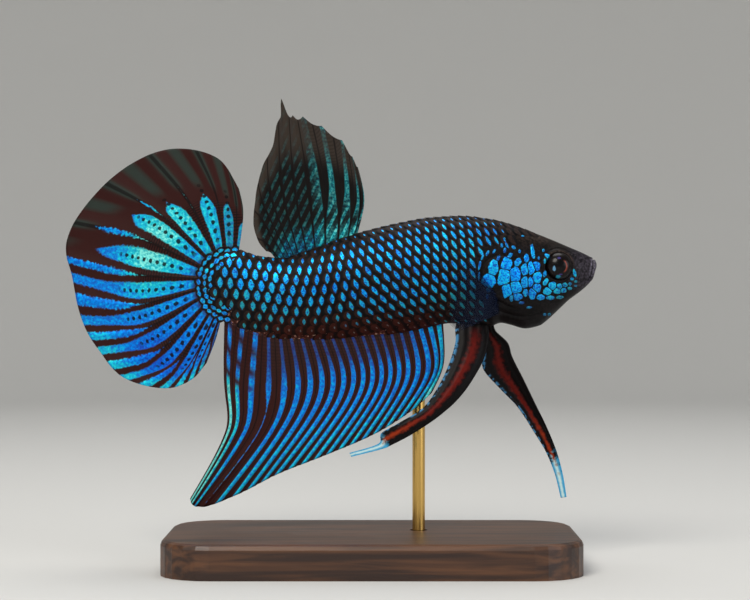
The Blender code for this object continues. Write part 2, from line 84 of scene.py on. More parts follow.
# How sharply a section closes: 0.5 is round, 1 is a wedge.
BACK_EDGE = [(0.0, 0.5), (6.0, 0.44), (12.0, 0.46), (22.0, 0.55), (36.0, 0.6), (46.8, 0.6)]
BELLY_EDGE = [(0.0, 0.5), (5.0, 0.58), (9.0, 0.62), (13.0, 0.55), (16.0, 0.58), (19.5, 0.85),
              (24.0, 0.95), (40.0, 0.95), (46.8, 0.6)]
BACK_LINE_END = 42.6
BELLY_LINE_END = 43.0
TAIL_ROOT_BACK = 42.55
TAIL_ROOT_UP = -2.3
TAIL_ROOT_RADIUS = 4.25
SWAY_START = 28.0
SWAY_RATE = 0.0032

GILL_COVER = [(11.0, 1.0), (12.6, 0.6), (13.5, -0.5), (13.6, -1.9), (12.8, -3.1), (11.2, -4.4),
              (9.6, -5.0), (7.9, -5.1), (7.2, -4.3), (7.8, -2.6), (8.7, -0.8), (9.6, 0.5)]
# The line behind the eye where the cheek's front plate stops, and the fold under the gill cover
CHEEK_GROOVE = [(8.6, 1.5), (7.9, 0.2), (7.5, -1.5), (6.9, -3.2), (5.6, -4.3)]
THROAT_FOLD = [(13.4, -3.9), (11.9, -5.2), (10.2, -5.9), (8.4, -6.1), (6.8, -5.7)]
MOUTH_CLEFT = [(0.2, 1.1), (0.41, 0.66), (0.53, -0.33), (0.64, -0.8), (0.76, -1.27), (1.11, -1.86)]
NOSTRIL = (1.85, 0.5)
REAR_NOSTRIL = (2.75, 1.15)

SKIN_AROUND = 224
SKIN_ALONG = 380
SKIN_CROWDING = 1.65
SKIN_DEPTH = 0.12
SNOUT_DEPTH = 0.04
NODE_MODES = {"Math": "operation", "VectorMath": "operation", "MapRange": "interpolation_type",
              "Mix": "data_type", "Attribute": "attribute_name"}


def smooth_line(points):
    """A smooth function through (x, value) points that never overshoots them."""
    xs, ys = np.array(points, float).T
    widths = np.diff(xs)
    steps = np.diff(ys) / widths
    before, after = steps[:-1], steps[1:]
    total = np.where(before * after > 0, before + after, 1.0)
    inner = np.where(before * after > 0, 2 * before * after / total, 0.0)
    slopes = np.concatenate([steps[:1], inner, steps[-1:]])

    def value(x):
        x = np.clip(x, xs[0], xs[-1])
        i = np.clip(np.searchsorted(xs, x) - 1, 0, len(xs) - 2)
        t = (x - xs[i]) / widths[i]
        return ((1 + 2 * t) * (1 - t) ** 2 * ys[i] + t * (1 - t) ** 2 * widths[i] * slopes[i]
                + t * t * (3 - 2 * t) * ys[i + 1] + t * t * (t - 1) * widths[i] * slopes[i + 1])

    return value


def rounded_path(points, closed=False):
    """A function of 0 to 1 along a smooth path through the points, or round them."""
    points = np.array(points, float)
    ends = (points[-1:], points[:2]) if closed else (points[:1], points[-1:])
    path = np.concatenate([ends[0], points, ends[1]])
    spans = len(path) - 3

    def at(share):
        share = np.asarray(share, float)
        i = np.minimum((share * spans).astype(int), spans - 1)
        t = (share * spans - i)[..., None]
        a, b, c, d = (path[i + step] for step in range(4))
        return 0.5 * (2 * b + (c - a) * t + (2 * a - 5 * b + 4 * c - d) * t * t
                      + (3 * b - a - 3 * c + d) * t ** 3)

    return at


def smooth_step(low, high, value):
    """Goes smoothly from 0 at low to 1 at high."""
    t = np.clip((value - low) / (high - low), 0, 1)
    return t * t * (3 - 2 * t)


def bump(distance, width):
    """A soft ridge: 1 on the line, almost 0 at twice the width."""
    return np.exp(-(distance / width) ** 2)


back_line = smooth_line(BACK_LINE)
belly_line = smooth_line(BELLY_LINE)
flank_line = smooth_line(FLANK_LINE)
half_width = smooth_line(HALF_WIDTH)
back_edge = smooth_line(BACK_EDGE)
belly_edge = smooth_line(BELLY_EDGE)


def root_height(back):
    """Half the height of the round end that carries the tail fin, or 0 behind it."""
    return np.sqrt(np.maximum(TAIL_ROOT_RADIUS ** 2 - (back - TAIL_ROOT_BACK) ** 2, 0.0))


def top_of_body(back):
    """Height of the back, and behind it of the tail's round root."""
    return np.where(back < BACK_LINE_END, back_line(back), TAIL_ROOT_UP + root_height(back))


def bottom_of_body(back):
    """Height of the belly, and behind it of the tail's round root."""
    return np.where(back < BELLY_LINE_END, belly_line(back), TAIL_ROOT_UP - root_height(back))


def place(back, up, side):
    """Points in metres in the frame. side is measured from the fish's middle plane, + its left."""
    sway = SWAY_RATE * np.maximum(back - SWAY_START, 0.0) ** 2
    return np.stack([SNOUT_X - back, side + sway, SNOUT_Z + up], axis=-1) * MM


def section(back, turn):
    """Height and side of the body at an angle round its section, from its left over its back."""
    rise, across = np.sin(turn), np.cos(turn)
    flank = flank_line(back)
    reach = np.where(rise > 0, top_of_body(back) - flank, flank - bottom_of_body(back))
    edge = np.where(rise > 0, back_edge(back), belly_edge(back))
    side = half_width(back) * np.sign(across) * np.abs(across) ** (2 * edge)
    return flank + reach * rise, side


def body_point(back, turn):
    up, side = section(back, turn)
    return place(back, up, side)


def body_normal(back, turn):
    """The outward direction of the body's surface."""
    along = body_point(np.minimum(back + 0.05, BODY_LENGTH), turn) - body_point(
        np.maximum(back - 0.05, 0.0), turn)
    around = body_point(back, turn + 0.02) - body_point(back, turn - 0.02)
    normal = np.cross(along, around)
    return normal / np.maximum(np.linalg.norm(normal, axis=-1, keepdims=True), 1e-12)


def turn_at_height(back, up):
    """The angle round the section, on the fish's left, that has this height."""
    flank = flank_line(back)
    reach = np.where(up > flank, top_of_body(back) - flank, flank - bottom_of_body(back))
    return np.arcsin(np.clip((up - flank) / reach, -1, 1))


def distance_to_path(back, up, path):
    """Distance from each place to a path of (back, up) corners."""
    nearest = np.full(np.shape(back), np.inf)
    for (b0, u0), (b1, u1) in zip(path[:-1], path[1:]):
        share = ((back - b0) * (b1 - b0) + (up - u0) * (u1 - u0)) / ((b1 - b0) ** 2 + (u1 - u0) ** 2)
        share = np.clip(share, 0, 1)
        nearest = np.minimum(nearest, np.hypot(back - b0 - share * (b1 - b0),
                                               up - u0 - share * (u1 - u0)))
    return nearest


def inside_path(back, up, path):
    """True where a place lies inside a closed path of corners."""
    inside = np.zeros(np.shape(back), bool)
    for (b0, u0), (b1, u1) in zip(path, np.roll(path, -1, axis=0)):
        crosses = (u0 > up) != (u1 > up)
        rise = np.where(u1 == u0, 1.0, u1 - u0)
        inside ^= crosses & (back < (b1 - b0) * (up - u0) / rise + b0)
    return inside


gill_rim = rounded_path(GILL_COVER, closed=True)(np.linspace(0, 1, 61)[:-1])
gill_rim_closed = np.concatenate([gill_rim, gill_rim[:1]])
cheek_groove = rounded_path(CHEEK_GROOVE)(np.linspace(0, 1, 17))
throat_fold = rounded_path(THROAT_FOLD)(np.linspace(0, 1, 17))
mouth_cleft = rounded_path(MOUTH_CLEFT)(np.linspace(0, 1, 25))


def gill_height(back, up):
    """How far the gill cover stands up: highest along its free rear edge, then a sharp drop."""
    signed = distance_to_path(back, up, gill_rim_closed)
    signed = np.where(inside_path(back, up, gill_rim), signed, -signed)
    rearward = smooth_step(8.5, 12.5, back)
    plate = smooth_step(-0.04, 0.1, signed) * (0.03 + 0.2 * rearward)
    slit = -0.22 * bump(signed + 0.14, 0.1) * rearward
    return plate + slit


def relief(back, up):
    """Height of the modelled skin over the plain body, in millimetres."""
    # The socket, its rim and the brow
    eye = np.hypot(back - EYE_BACK, up - EYE_UP)
    height = -1.0 * smooth_step(1.62, 1.25, eye)
    height += 0.07 * bump(eye - 1.74, 0.14) - 0.06 * bump(eye - 2.08, 0.12)
    brow = smooth_step(-0.3, 1.0, up - EYE_UP) * bump(eye - 1.95, 0.35)
    height += 0.12 * brow
    # The two nostrils, each a pit with a raised edge
    nostril = np.hypot(back - NOSTRIL[0], up - NOSTRIL[1])
    height += 0.08 * bump(nostril - 0.27, 0.09) - 0.22 * bump(nostril, 0.16)
    rear = np.hypot(back - REAR_NOSTRIL[0], (up - REAR_NOSTRIL[1]) * 1.4)
    height += 0.05 * bump(rear - 0.22, 0.08) - 0.16 * bump(rear, 0.13)
    # The mouth and the fine folds of its lips
    cleft = distance_to_path(back, up, mouth_cleft)
    height += -0.2 * bump(cleft, 0.07) + 0.06 * bump(cleft - 0.24, 0.11)
    lip_folds = smooth_step(0.25, 0.4, cleft) * smooth_step(1.5, 1.0, cleft)
    lip_folds *= smooth_step(-2.4, -1.6, up) * smooth_step(0.7, 0.2, up)
    height += 0.035 * lip_folds * np.sin((back + 0.25 * up) * 15)
    # The groove of the cheek and the fold of the throat
    height += -0.05 * bump(distance_to_path(back, up, cheek_groove), 0.16)
    height += -0.13 * bump(distance_to_path(back, up, throat_fold), 0.14)
    height += 0.05 * bump(distance_to_path(back, up, throat_fold + [0.1, -0.42]), 0.2)
    return height + gill_height(back, up)


def on_skin(back, turn, lift=0.0):
    """A point on the modelled skin, raised along its normal."""
    up, _ = section(back, turn)
    depth = SNOUT_DEPTH + (SKIN_DEPTH - SNOUT_DEPTH) * smooth_step(1.0, 9.0, back)
    height = (relief(back, up) - depth + lift) * MM
    return body_point(back, turn) + body_normal(back, turn) * height[..., None]


def deselect_all():
    for obj in bpy.context.selected_objects:
        obj.select_set(False)


def grid_piece(name, columns, rows):
    """A flat grid with its UV map, made the active object; its corners are placed afterwards."""
    deselect_all()
    bpy.ops.mesh.primitive_grid_add(x_subdivisions=columns, y_subdivisions=rows, size=1)
    piece = bpy.context.object
    piece.name = name
    piece.data.name = name
    across, along = np.meshgrid(np.linspace(0, 1, columns + 1), np.linspace(0, 1, rows + 1))
    return piece, across.ravel(), along.ravel()


def set_points(piece, points):
    piece.data.vertices.foreach_set("co", np.asarray(points, np.float32).ravel())
    piece.data.update()


def set_values(piece, **values):
    """Stores named numbers for each corner of the mesh, for the material to read."""
    for name, numbers in values.items():
        layer = piece.data.attributes.new(name, "FLOAT", "POINT")
        numbers = np.broadcast_to(np.asarray(numbers, np.float32), len(piece.data.vertices))
        layer.data.foreach_set("value", np.ascontiguousarray(numbers))


def close_up(piece, merge):
    """Welds edges that meet, turns the faces outwards and shades them smooth."""
    bpy.ops.object.mode_set(mode="EDIT")
    bpy.ops.mesh.select_all(action="SELECT")
    bpy.ops.mesh.remove_doubles(threshold=merge * MM)
    bpy.ops.mesh.normals_make_consistent(inside=False)
    bpy.ops.object.mode_set(mode="OBJECT")
    bpy.ops.object.shade_smooth()


def colour(code):
    """An sRGB hex colour as linear RGBA."""
    parts = [int(code[i:i + 2], 16) / 255 for i in (0, 2, 4)]
    return [c / 12.92 if c <= 0.04045 else ((c + 0.055) / 1.055) ** 2.4 for c in parts] + [1.0]


def set_inputs(node, *values, **named):
    """Links or sets a node's inputs: in the order of the sockets in use, or by name."""
    in_use = [socket for socket in node.inputs if socket.enabled]
    by_name = [(node.inputs[name.replace("_", " ")], value) for name, value in named.items()]
    for socket, value in [*zip(in_use, values), *by_name]:
        if isinstance(value, bpy.types.NodeSocket):
            node.id_data.links.new(value, socket)
        else:
            socket.default_value = value


def add_node(tree, kind, *values, output=0, **named):
    """Adds one node with its inputs. A word after its kind, as in "Math ADD", sets its mode."""
    kind, _, mode = kind.partition(" ")
    made = tree.nodes.new("ShaderNode" + kind)
    if mode:
        setattr(made, NODE_MODES[kind], mode)
    set_inputs(made, *values, **named)
    return [socket for socket in made.outputs if socket.enabled][output]


def new_material(name, **finish):
    """A Principled material: itself, add_node for its own nodes, and its shader."""
    made = bpy.data.materials.new(name)
    made.use_nodes = True
    shader = made.node_tree.nodes["Principled BSDF"]
    set_inputs(shader, **finish)
    return made, functools.partial(add_node, made.node_tree), shader


# Tinted resin skin: satin, nearly black, warmer on the crown and greyer on the snout, with fine
# pores and freckles. It shows between the scales and all over the head.
SKIN_DARK = "0D0A0B"
SKIN_CROWN = "281E17"
SKIN_SNOUT = "2A262D"
SKIN_LID = "3A2E28"
SKIN_LIP = "6C6876"
SKIN_SHEATH = "43201A"
SKIN_SPECK = "9A8070"
PORE_SIZE = 0.28
BLOTCH_SIZE = 2.2

skin_resin, add, shader = new_material("satin_tinted_resin_skin", Roughness=0.46, IOR=1.45,
                                       Specular_IOR_Level=0.13)
where = add("TexCoord", output=3)
pores = add("TexNoise", where, 1 / (PORE_SIZE * MM), 3.0)
blotch = add("TexNoise", where, 1 / (BLOTCH_SIZE * MM), 2.0)
crown, snout, lid, sheath, lip = (
    add("Attribute " + key, output=2) for key in ("crown", "snout", "lid", "sheath", "lip"))
freckle = add("MapRange", pores, 0.4, 0.66, 0.4, 2.0)
patch = add("MapRange", blotch, 0.3, 0.7, 0.6, 1.4)
shade = add("Math MULTIPLY", freckle, patch)
tone = add("Mix RGBA", crown, colour(SKIN_DARK), colour(SKIN_CROWN))
for mask, tint in ((snout, SKIN_SNOUT), (sheath, SKIN_SHEATH), (lid, SKIN_LID), (lip, SKIN_LIP)):
    tone = add("Mix RGBA", mask, tone, colour(tint))
speck = add("MapRange", pores, 0.58, 0.66, 0.0, 0.6)
speck = add("Math MULTIPLY", speck, sheath)
tone = add("Mix RGBA", speck, tone, colour(SKIN_SPECK))
tone = add("VectorMath SCALE", tone, shade)
skin_bump = add("Bump", Strength=0.25, Distance=0.03 * MM, Height=pores)
set_inputs(shader, Base_Color=tone, Normal=skin_bump)

skin, across, along = grid_piece("skin", SKIN_AROUND, SKIN_ALONG)
skin_back = BODY_LENGTH * along ** SKIN_CROWDING
skin_turn = 2 * math.pi * across
set_points(skin, on_skin(skin_back, skin_turn))
skin_up, _ = section(skin_back, skin_turn)
eye_distance = np.hypot(skin_back - EYE_BACK, skin_up - EYE_UP)
upper_front = smooth_step(-0.6, 0.9, (skin_up - EYE_UP) + 0.4 * (EYE_BACK - skin_back))
from_cleft = distance_to_path(skin_back, skin_up, mouth_cleft)
ahead = smooth_step(0.0, 0.12, from_cleft) * smooth_step(0.42, 0.2, from_cleft)
lower_edge = skin_up - bottom_of_body(skin_back)
set_values(
    skin,
    crown=smooth_step(0.5, 4.5, skin_up - 0.1 * skin_back),
    snout=smooth_step(4.0, 2.2, skin_back) * smooth_step(-3.6, -2.0, skin_up),
    lid=0.7 * bump(eye_distance - 1.76, 0.09) * upper_front,
    lip=0.45 * ahead * smooth_step(-1.6, -0.6, skin_up),
    sheath=smooth_step(17.5, 20.0, skin_back) * smooth_step(2.2, 0.8, lower_edge))
close_up(skin, merge=0.0008)
skin.data.uv_layers[0].name = "OFBake"
skin.data.materials.append(skin_resin)
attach(skin, "root")
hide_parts("head", "jaw", "gill_cover_right", "gill_cover_left", "trunk_front",
            "trunk_rear", "tail_stem")


# ------------------------------------------------------------
# The scales: thin overlapping plates laid in rows from the tail to the nape, each with its rear
# edge standing clear of the next. Cast resin with a metallic blue spot and a black rear margin,
# partly its own dark edge and partly painted shade where it stands over the next plate.
# One plate is laid out for every place in the lattice and bent to the body there.
# ------------------------------------------------------------
ROW_SPACING = 1.24
SCALE_PITCH = [(6.0, 0.92), (13.5, 1.01), (19.6, 1.1), (33.0, 1.23), (47.0, 1.23)]
ROW_DRIFT = 0.02
# The row that all the others are counted from, along the flank
FIRST_ROW = [(8.0, 1.9), (13.0, 1.55), (17.5, 1.05), (22.0, 0.3), (29.0, -1.2), (34.0, -1.85),
             (40.0, -1.15), (46.8, -0.6)]
ROWS_ABOVE = 6
ROWS_BELOW = 9
SCALE_LEAN = 0.6
SCALE_FRONT = -0.66
SCALE_REAR = 0.52
# Half the height of a scale, in rows
SCALE_HALF_HEIGHT = 0.53
SCALE_RISE = 0.115
# Small scales fan out round the tail's root, in rings counted from its middle.
FAN_START = 42.3
FAN_INSIDE = 2.75
FAN_RINGS = [2.9, 3.6, 4.28]
FAN_ANGLES = (-80, 112)
FAN_SPACING = 0.8
FAN_HALF_HEIGHT = 0.56
FAN_SPOT_HEIGHT = 0.47
SCALE_COLUMNS = 7
SCALE_ROWS = 6
SCALE_SEED = 7
MOST_IN_A_ROW = 60
LAST_SCALE_FROM_END = 0.7
# Film of the big fins, which the fan of scales runs out on
FILM_THICKNESS = 0.3
# Each plate reads the baked map of the skin from a patch this wide at its root.
PATCH = 0.003
# What each plate stores for its lacquer: its corners' places in its cell, half the spot's size,
# how strong and how green the blue is, and how warm the ground is
PLATE_VALUES = ["cell_a", "cell_b", "half_a", "half_b", "glow", "green", "warm"]
# Where the scales stop: the edge of the head and the shoulder, from the nape down to the throat
SCALE_START = [(-8.0, 12.8), (-6.0, 13.0), (-4.5, 13.6), (-2.0, 14.1), (0.0, 14.1), (1.5, 13.0),
               (2.5, 11.5), (3.1, 9.4), (3.8, 7.6), (4.4, 7.6), (5.0, 7.8), (6.0, 7.8)]

first_row = smooth_line(FIRST_ROW)
scale_pitch = smooth_line(SCALE_PITCH)
scale_start = smooth_line(SCALE_START)
stations = np.linspace(6.0, BODY_LENGTH, 400)
steps = np.concatenate([[0.0], np.cumsum(np.diff(stations) / scale_pitch(stations[1:]))])
SIDE_TURNS = np.linspace(math.pi / 2, -math.pi / 2, 101)


def girth_table(back):
    """Distance round the section from the middle of the back, at each of the sample angles."""
    up, side = section(back[:, None], SIDE_TURNS[None, :])
    lengths = np.hypot(np.diff(up, axis=1), np.diff(side, axis=1))
    return np.concatenate([np.zeros((len(back), 1)), np.cumsum(lengths, axis=1)], axis=1)


def girth_to_turn(back, girth):
    """The angle round the section at a distance from the middle of the back, on the left side.
    A distance past the middle of the back or belly runs on to the other side."""
    table = girth_table(back)
    total = table[:, -1]
    folded = np.abs(girth)
    under = folded > total
    folded = np.where(under, 2 * total - folded, folded)
    i = np.clip((table < folded[:, None]).sum(axis=1) - 1, 0, len(SIDE_TURNS) - 2)
    here, there = np.take_along_axis(table, np.stack([i, i + 1], 1), 1).T
    gap = np.maximum(there - here, 1e-9)
    turn = SIDE_TURNS[i] + (SIDE_TURNS[i + 1] - SIDE_TURNS[i]) * (folded - here) / gap
    turn = np.where(girth < 0, math.pi - turn, turn)
    return np.where(under, -math.pi - turn, turn)


def girth_at_height(back, up):
    """The distance round the left side, from the middle of the back down to a height."""
    table = girth_table(back)
    turn = turn_at_height(back, up)
    turns_down = (math.pi / 2 - turn) / math.pi * (len(SIDE_TURNS) - 1)
    i = np.clip(turns_down.astype(int), 0, len(SIDE_TURNS) - 2)
    here, there = np.take_along_axis(table, np.stack([i, i + 1], 1), 1).T
    return here + (there - here) * (turns_down - i)


def scale_places():
    """Every scale on the left side: its row, its length, its step along the body, how far back it
    is, its girth, the girth of the whole side there, and its height."""
    places = []
    end = np.interp(BODY_LENGTH - LAST_SCALE_FROM_END, stations, steps)
    for row in range(-ROWS_ABOVE, ROWS_BELOW + 1):
        length = 1 + ROW_DRIFT * max(min(row - 1, 5), -5)
        for count in range(MOST_IN_A_ROW):
            step = end - (count + 0.5 * (row % 2)) * length
            if step < 0:
                break
            back = float(np.interp(step, steps, stations))
            centre = np.array([back])
            girth = float(girth_at_height(centre, first_row(centre))[0]) + row * ROW_SPACING
            total = float(girth_table(centre)[0, -1])
            if girth < -0.2 or girth > total - 0.25:
                continue
            up = float(section(centre, girth_to_turn(centre, np.array([girth])))[0][0])
            from_root = math.hypot(back - TAIL_ROOT_BACK, up - TAIL_ROOT_UP)
            if back > scale_start(up) and not (back > FAN_START and from_root > FAN_INSIDE):
                places.append((row, length, step, back, girth, total, up))
    return places


def scale_grid():
    """Corners of one scale, front to rear and top to bottom, in shares of its cell."""
    down, rear = np.meshgrid(np.linspace(-1, 1, SCALE_ROWS + 1), np.linspace(0, 1, SCALE_COLUMNS + 1),
                             indexing="ij")
    edge = SCALE_REAR - 0.34 * np.abs(down) ** 2.2
    a = SCALE_FRONT + (edge - SCALE_FRONT) * rear
    return a.ravel(), down.ravel()


def grid_faces(columns, rows):
    """Corner numbers of the faces of a grid whose corners are listed row by row."""
    i, j = np.meshgrid(np.arange(columns), np.arange(rows))
    corner = (i + j * (columns + 1)).ravel()
    return np.stack([corner, corner + 1, corner + columns + 2, corner + columns + 1], axis=1)


def joined_plates(name):
    """One mesh from the plates laid so far, with its baked map and the values they store."""
    mesh = bpy.data.meshes.new(name)
    mesh.from_pydata(np.concatenate(points).tolist(), [], np.concatenate(faces).tolist())
    piece = bpy.data.objects.new(name, mesh)
    bpy.context.scene.collection.objects.link(piece)
    corners = np.empty(len(mesh.loops), np.int32)
    mesh.loops.foreach_get("vertex_index", corners)
    bake = mesh.uv_layers.new(name="OFBake")
    bake.data.foreach_set("uv", np.concatenate(uvs)[corners].astype(np.float32).ravel())
    set_values(piece, **{key: np.concatenate(numbers) for key, numbers in values.items()})
    mesh.polygons.foreach_set("use_smooth", np.ones(len(mesh.polygons), bool))
    mesh.update()
    return piece


def body_colours(back, up, girth, total):
    """How strong and how green the blue is on the body, half the spot's width and height, and how
    warm the ground is."""
    from_top = girth / ROW_SPACING
    from_edge = (total - girth) / ROW_SPACING
    # On the upper front flank the blue is pushed toward cyan: a painted sheen where the light falls.
    shoulder_sheen = bump(np.hypot((back - 16.8) / 3.4, (up - 2.2) / 2.0), 1.0)
    root = smooth_step(33.0, 38.0, back)
    breast = bump(np.hypot((back - 15.6) / 3.6, (up + 4.6) / 2.4), 1.0)
    low = smooth_step(5.0, 1.6, from_edge)
    strength = (0.95 - 0.5 * low) * (1 - 0.45 * breast) * smooth_step(10.2, 11.4, back)
    green = 0.32 + 0.3 * shoulder_sheen + 0.08 * root + 0.5 * breast + 0.4 * low
    size = 0.36 + 0.64 * smooth_step(0.5, 3.3 - 1.5 * root, from_top)
    size *= 0.46 + 0.54 * smooth_step(1.0, 4.2, from_edge)
    size *= 0.3 + 0.7 * smooth_step(10.0, 13.0, back)
    size += 0.12 * root
    warm = smooth_step(3.6, 1.1, from_edge) * smooth_step(16.0, 20.0, back)
    warm *= smooth_step(40.5, 36.5, back)
    size *= 1 - 0.4 * smooth_step(0.7, 0.95, warm)
    return strength, green, size * (0.205 + 0.035 * root), (0.5 + 0.02 * root) * size, warm


def side_of_body(back, up):
    """Half the width of the skin at a place, or of the fin's film past the body's end."""
    flank = flank_line(back)
    reach = np.where(up > flank, top_of_body(back) - flank, flank - bottom_of_body(back))
    edge = np.where(up > flank, back_edge(back), belly_edge(back))
    high = (up - flank) / np.maximum(reach, 0.01)
    side = half_width(back) * np.maximum(1 - high * high, 0.0) ** edge
    side = np.where(back > BODY_LENGTH, 0.0, side)
    return np.maximum(side - SKIN_DEPTH, FILM_THICKNESS / 2)


random = np.random.default_rng(SCALE_SEED)
local_a, local_down = scale_grid()
points, faces, uvs = [], [], []
values = {key: [] for key in PLATE_VALUES}


def add_plates(left, right, left_faces, u_root, v_root, u_step, v_step, numbers):
    """Adds one plate on the fish's left and its mirror image on its right. The steps say how each
    corner lies from the plate's root in the baked map."""
    for side_points, side_faces, u in ((left, left_faces, u_root),
                                       (right, left_faces[:, ::-1], 0.5 - u_root)):
        faces.append(side_faces + len(points) * len(side_points))
        points.append(side_points)
        uvs.append(np.stack([u % 1.0 + u_step, v_root + v_step], axis=1))
        for key, number in zip(PLATE_VALUES, numbers):
            values[key].append(np.broadcast_to(number, len(side_points)))


scale_faces = grid_faces(SCALE_COLUMNS, SCALE_ROWS)
rear = (local_a - SCALE_FRONT) / (SCALE_REAR - SCALE_FRONT)
for row, length, step, back, girth, total, up in scale_places():
    lean = SCALE_LEAN * smooth_step(33.0, 25.0, back)
    a = local_a
    b = local_down * SCALE_HALF_HEIGHT
    vertex_back = np.interp(step + (a - lean * b) * length, steps, stations)
    base = girth_at_height(vertex_back, first_row(vertex_back))
    vertex_turn = girth_to_turn(vertex_back, base + (row + b) * ROW_SPACING)
    lift = 0.015 + SCALE_RISE * rear - 0.03 * local_down ** 2 * rear - 0.03 * b
    lift = lift * (0.5 + 0.5 * smooth_step(9.5, 14.0, vertex_back)) + 0.008 * (row % 2)
    strength, green, half_a, half_b, warm = (float(v) for v in body_colours(back, up, girth, total))
    strength *= random.uniform(0.85, 1.1)
    green += random.uniform(-0.12, 0.12)
    add_plates(on_skin(vertex_back, vertex_turn, lift), on_skin(vertex_back, math.pi - vertex_turn, lift),
               scale_faces, 0.25 - girth / total * 0.5, (back / BODY_LENGTH) ** (1 / SKIN_CROWDING),
               local_down * PATCH / 2, local_a * PATCH / 2,
               (local_a, b, half_a, half_b, strength, green, warm))

# The fan of small scales round the root of the tail
for ring, radius in enumerate(FAN_RINGS):
    turns = np.arange(*np.radians(FAN_ANGLES), FAN_SPACING / radius)
    for middle in turns + 0.5 * (ring % 2) * FAN_SPACING / radius:
        middle += random.uniform(-0.12, 0.12) / radius
        size = random.uniform(0.65, 0.9)
        reach = radius + random.uniform(-0.15, 0.1) + local_a * size
        angle = middle + (local_down * 0.52 + 0.12 * local_a) * random.uniform(0.75, 0.95) / radius
        back = TAIL_ROOT_BACK + reach * np.cos(angle)
        up = TAIL_ROOT_UP + reach * np.sin(angle)
        if TAIL_ROOT_BACK + radius * math.cos(middle) < FAN_START:
            continue
        lift = 0.02 + 0.07 * rear - 0.03 * local_down ** 2
        strength, green = random.uniform(0.7, 1.05), random.uniform(0.25, 0.65)
        half_a = random.uniform(0.26, 0.36)
        v_root = min(float(back.mean()) / BODY_LENGTH, 0.99) ** (1 / SKIN_CROWDING)
        root_turn = float(turn_at_height(np.minimum(back.mean(), BODY_LENGTH - 0.1), up.mean()))
        out = side_of_body(back, up) + lift
        add_plates(place(back, up, out), place(back, up, -out), scale_faces,
                   root_turn / (2 * math.pi), v_root, local_down * PATCH / 2, local_a * PATCH / 2,
                   (local_a, local_down * FAN_HALF_HEIGHT, half_a, FAN_SPOT_HEIGHT, strength, green, 0.0))
scales = joined_plates("scales")

# Scale resin: black base with a brown-grey bloom, and a lens of metallic blue lacquer on each
# plate, grained like fine foil, that turns from deep blue to cyan; the ground is a soft satin.
SCALE_BLACK = "07070A"
SCALE_BROWN = "291C18"
SCALE_WARM = "401A12"
SPOT_DEEP = "086CE6"
SPOT_BLUE = "10A2F2"
SPOT_CYAN = "20D6E2"
SPOT_PALE = "94786A"
SCALE_RUST = "170B08"
LACQUER_METAL = 0.65
# How far in front of its cell's middle a spot lies
SPOT_SHIFT = 0.12
FOIL_GRAIN = 0.2

# Scales and head plates share it: the spot is drawn in each plate's own cell.
scale_lacquer, add, shader = new_material("black_resin_scale_with_blue_lacquer", Roughness=0.4,
                                          IOR=1.45, Specular_IOR_Level=0.12)
a, b, half_a, half_b, glow, green, warm = (add("Attribute " + key, output=2) for key in PLATE_VALUES)
where = add("TexCoord", output=3)
fine = add("TexNoise", where, 1 / (FOIL_GRAIN * MM), 3.0)
ripple = add("MapRange", fine, 0.3, 0.7, -0.28, 0.28)
# The lens, pointed above and below: |a / half_a| + |b / half_b| to the power 1.7
shifted = add("Math ADD", a, SPOT_SHIFT)
shifted = add("Math ABSOLUTE", shifted)
a_share = add("Math DIVIDE", shifted, half_a)
b_size = add("Math ABSOLUTE", b)
b_share = add("Math DIVIDE", b_size, half_b)
b_power = add("Math POWER", b_share, 1.7)
lens = add("Math ADD", a_share, b_power)
lens = add("Math ADD", lens, ripple)
blue = add("MapRange SMOOTHSTEP", lens, 1.12, 0.88, 0.0, 1.0)
blue = add("Math MULTIPLY", blue, glow)
worn = add("MapRange", fine, 0.36, 0.48, 0.55, 1.0)
blue = add("Math MULTIPLY", blue, worn)
bloom = add("MapRange SMOOTHSTEP", a, -0.42, -0.2, 0.0, 1.0)
# The black rear margin is partly the plate's own dark edge and partly painted shade where it stands over
# the next plate.
edge = add("Math MULTIPLY", b_size, b_size)
edge = add("Math MULTIPLY_ADD", edge, 1.1, a)
rear_margin_and_shade = add("MapRange SMOOTHSTEP", edge, 0.4, 0.3, 0.0, 1.0)
bloom = add("Math MULTIPLY", bloom, rear_margin_and_shade)
speckle = add("MapRange", fine, 0.35, 0.65, 0.4, 1.0)
bloom = add("Math MULTIPLY", bloom, speckle)
brown = add("Mix RGBA", warm, colour(SCALE_BROWN), colour(SCALE_WARM))
under = add("Mix RGBA", warm, colour(SCALE_BLACK), colour(SCALE_RUST))
ground = add("Mix RGBA", bloom, under, brown)
grain = add("MapRange", fine, 0.34, 0.66, -0.4, 0.4)
hue_place = add("Math ADD", green, grain)
hue_place = add("Math MULTIPLY_ADD", lens, 0.22, hue_place)
hue_place = add("Math SUBTRACT", hue_place, 0.12)
hue = add("ValToRGB", hue_place)
ramp = hue.node.color_ramp
ramp.elements[0].color = colour(SPOT_DEEP)
ramp.elements[1].color = colour(SPOT_CYAN)
ramp.elements.new(0.4).color = colour(SPOT_BLUE)
pale = add("MapRange", warm, 0.8, 0.97, 0.0, 0.9)
hue = add("Mix RGBA", pale, hue, colour(SPOT_PALE))
tone = add("Mix RGBA", blue, ground, hue)
metal = add("Math MULTIPLY", blue, LACQUER_METAL)
dull = add("MapRange", blue, 0.0, 1.0, 0.55, 0.48)
bumps = add("Bump", Strength=0.3, Distance=0.02 * MM, Height=fine)
set_inputs(shader, Base_Color=tone, Metallic=metal, Roughness=dull, Normal=bumps)
scales.data.materials.append(scale_lacquer)
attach(scales, "root")


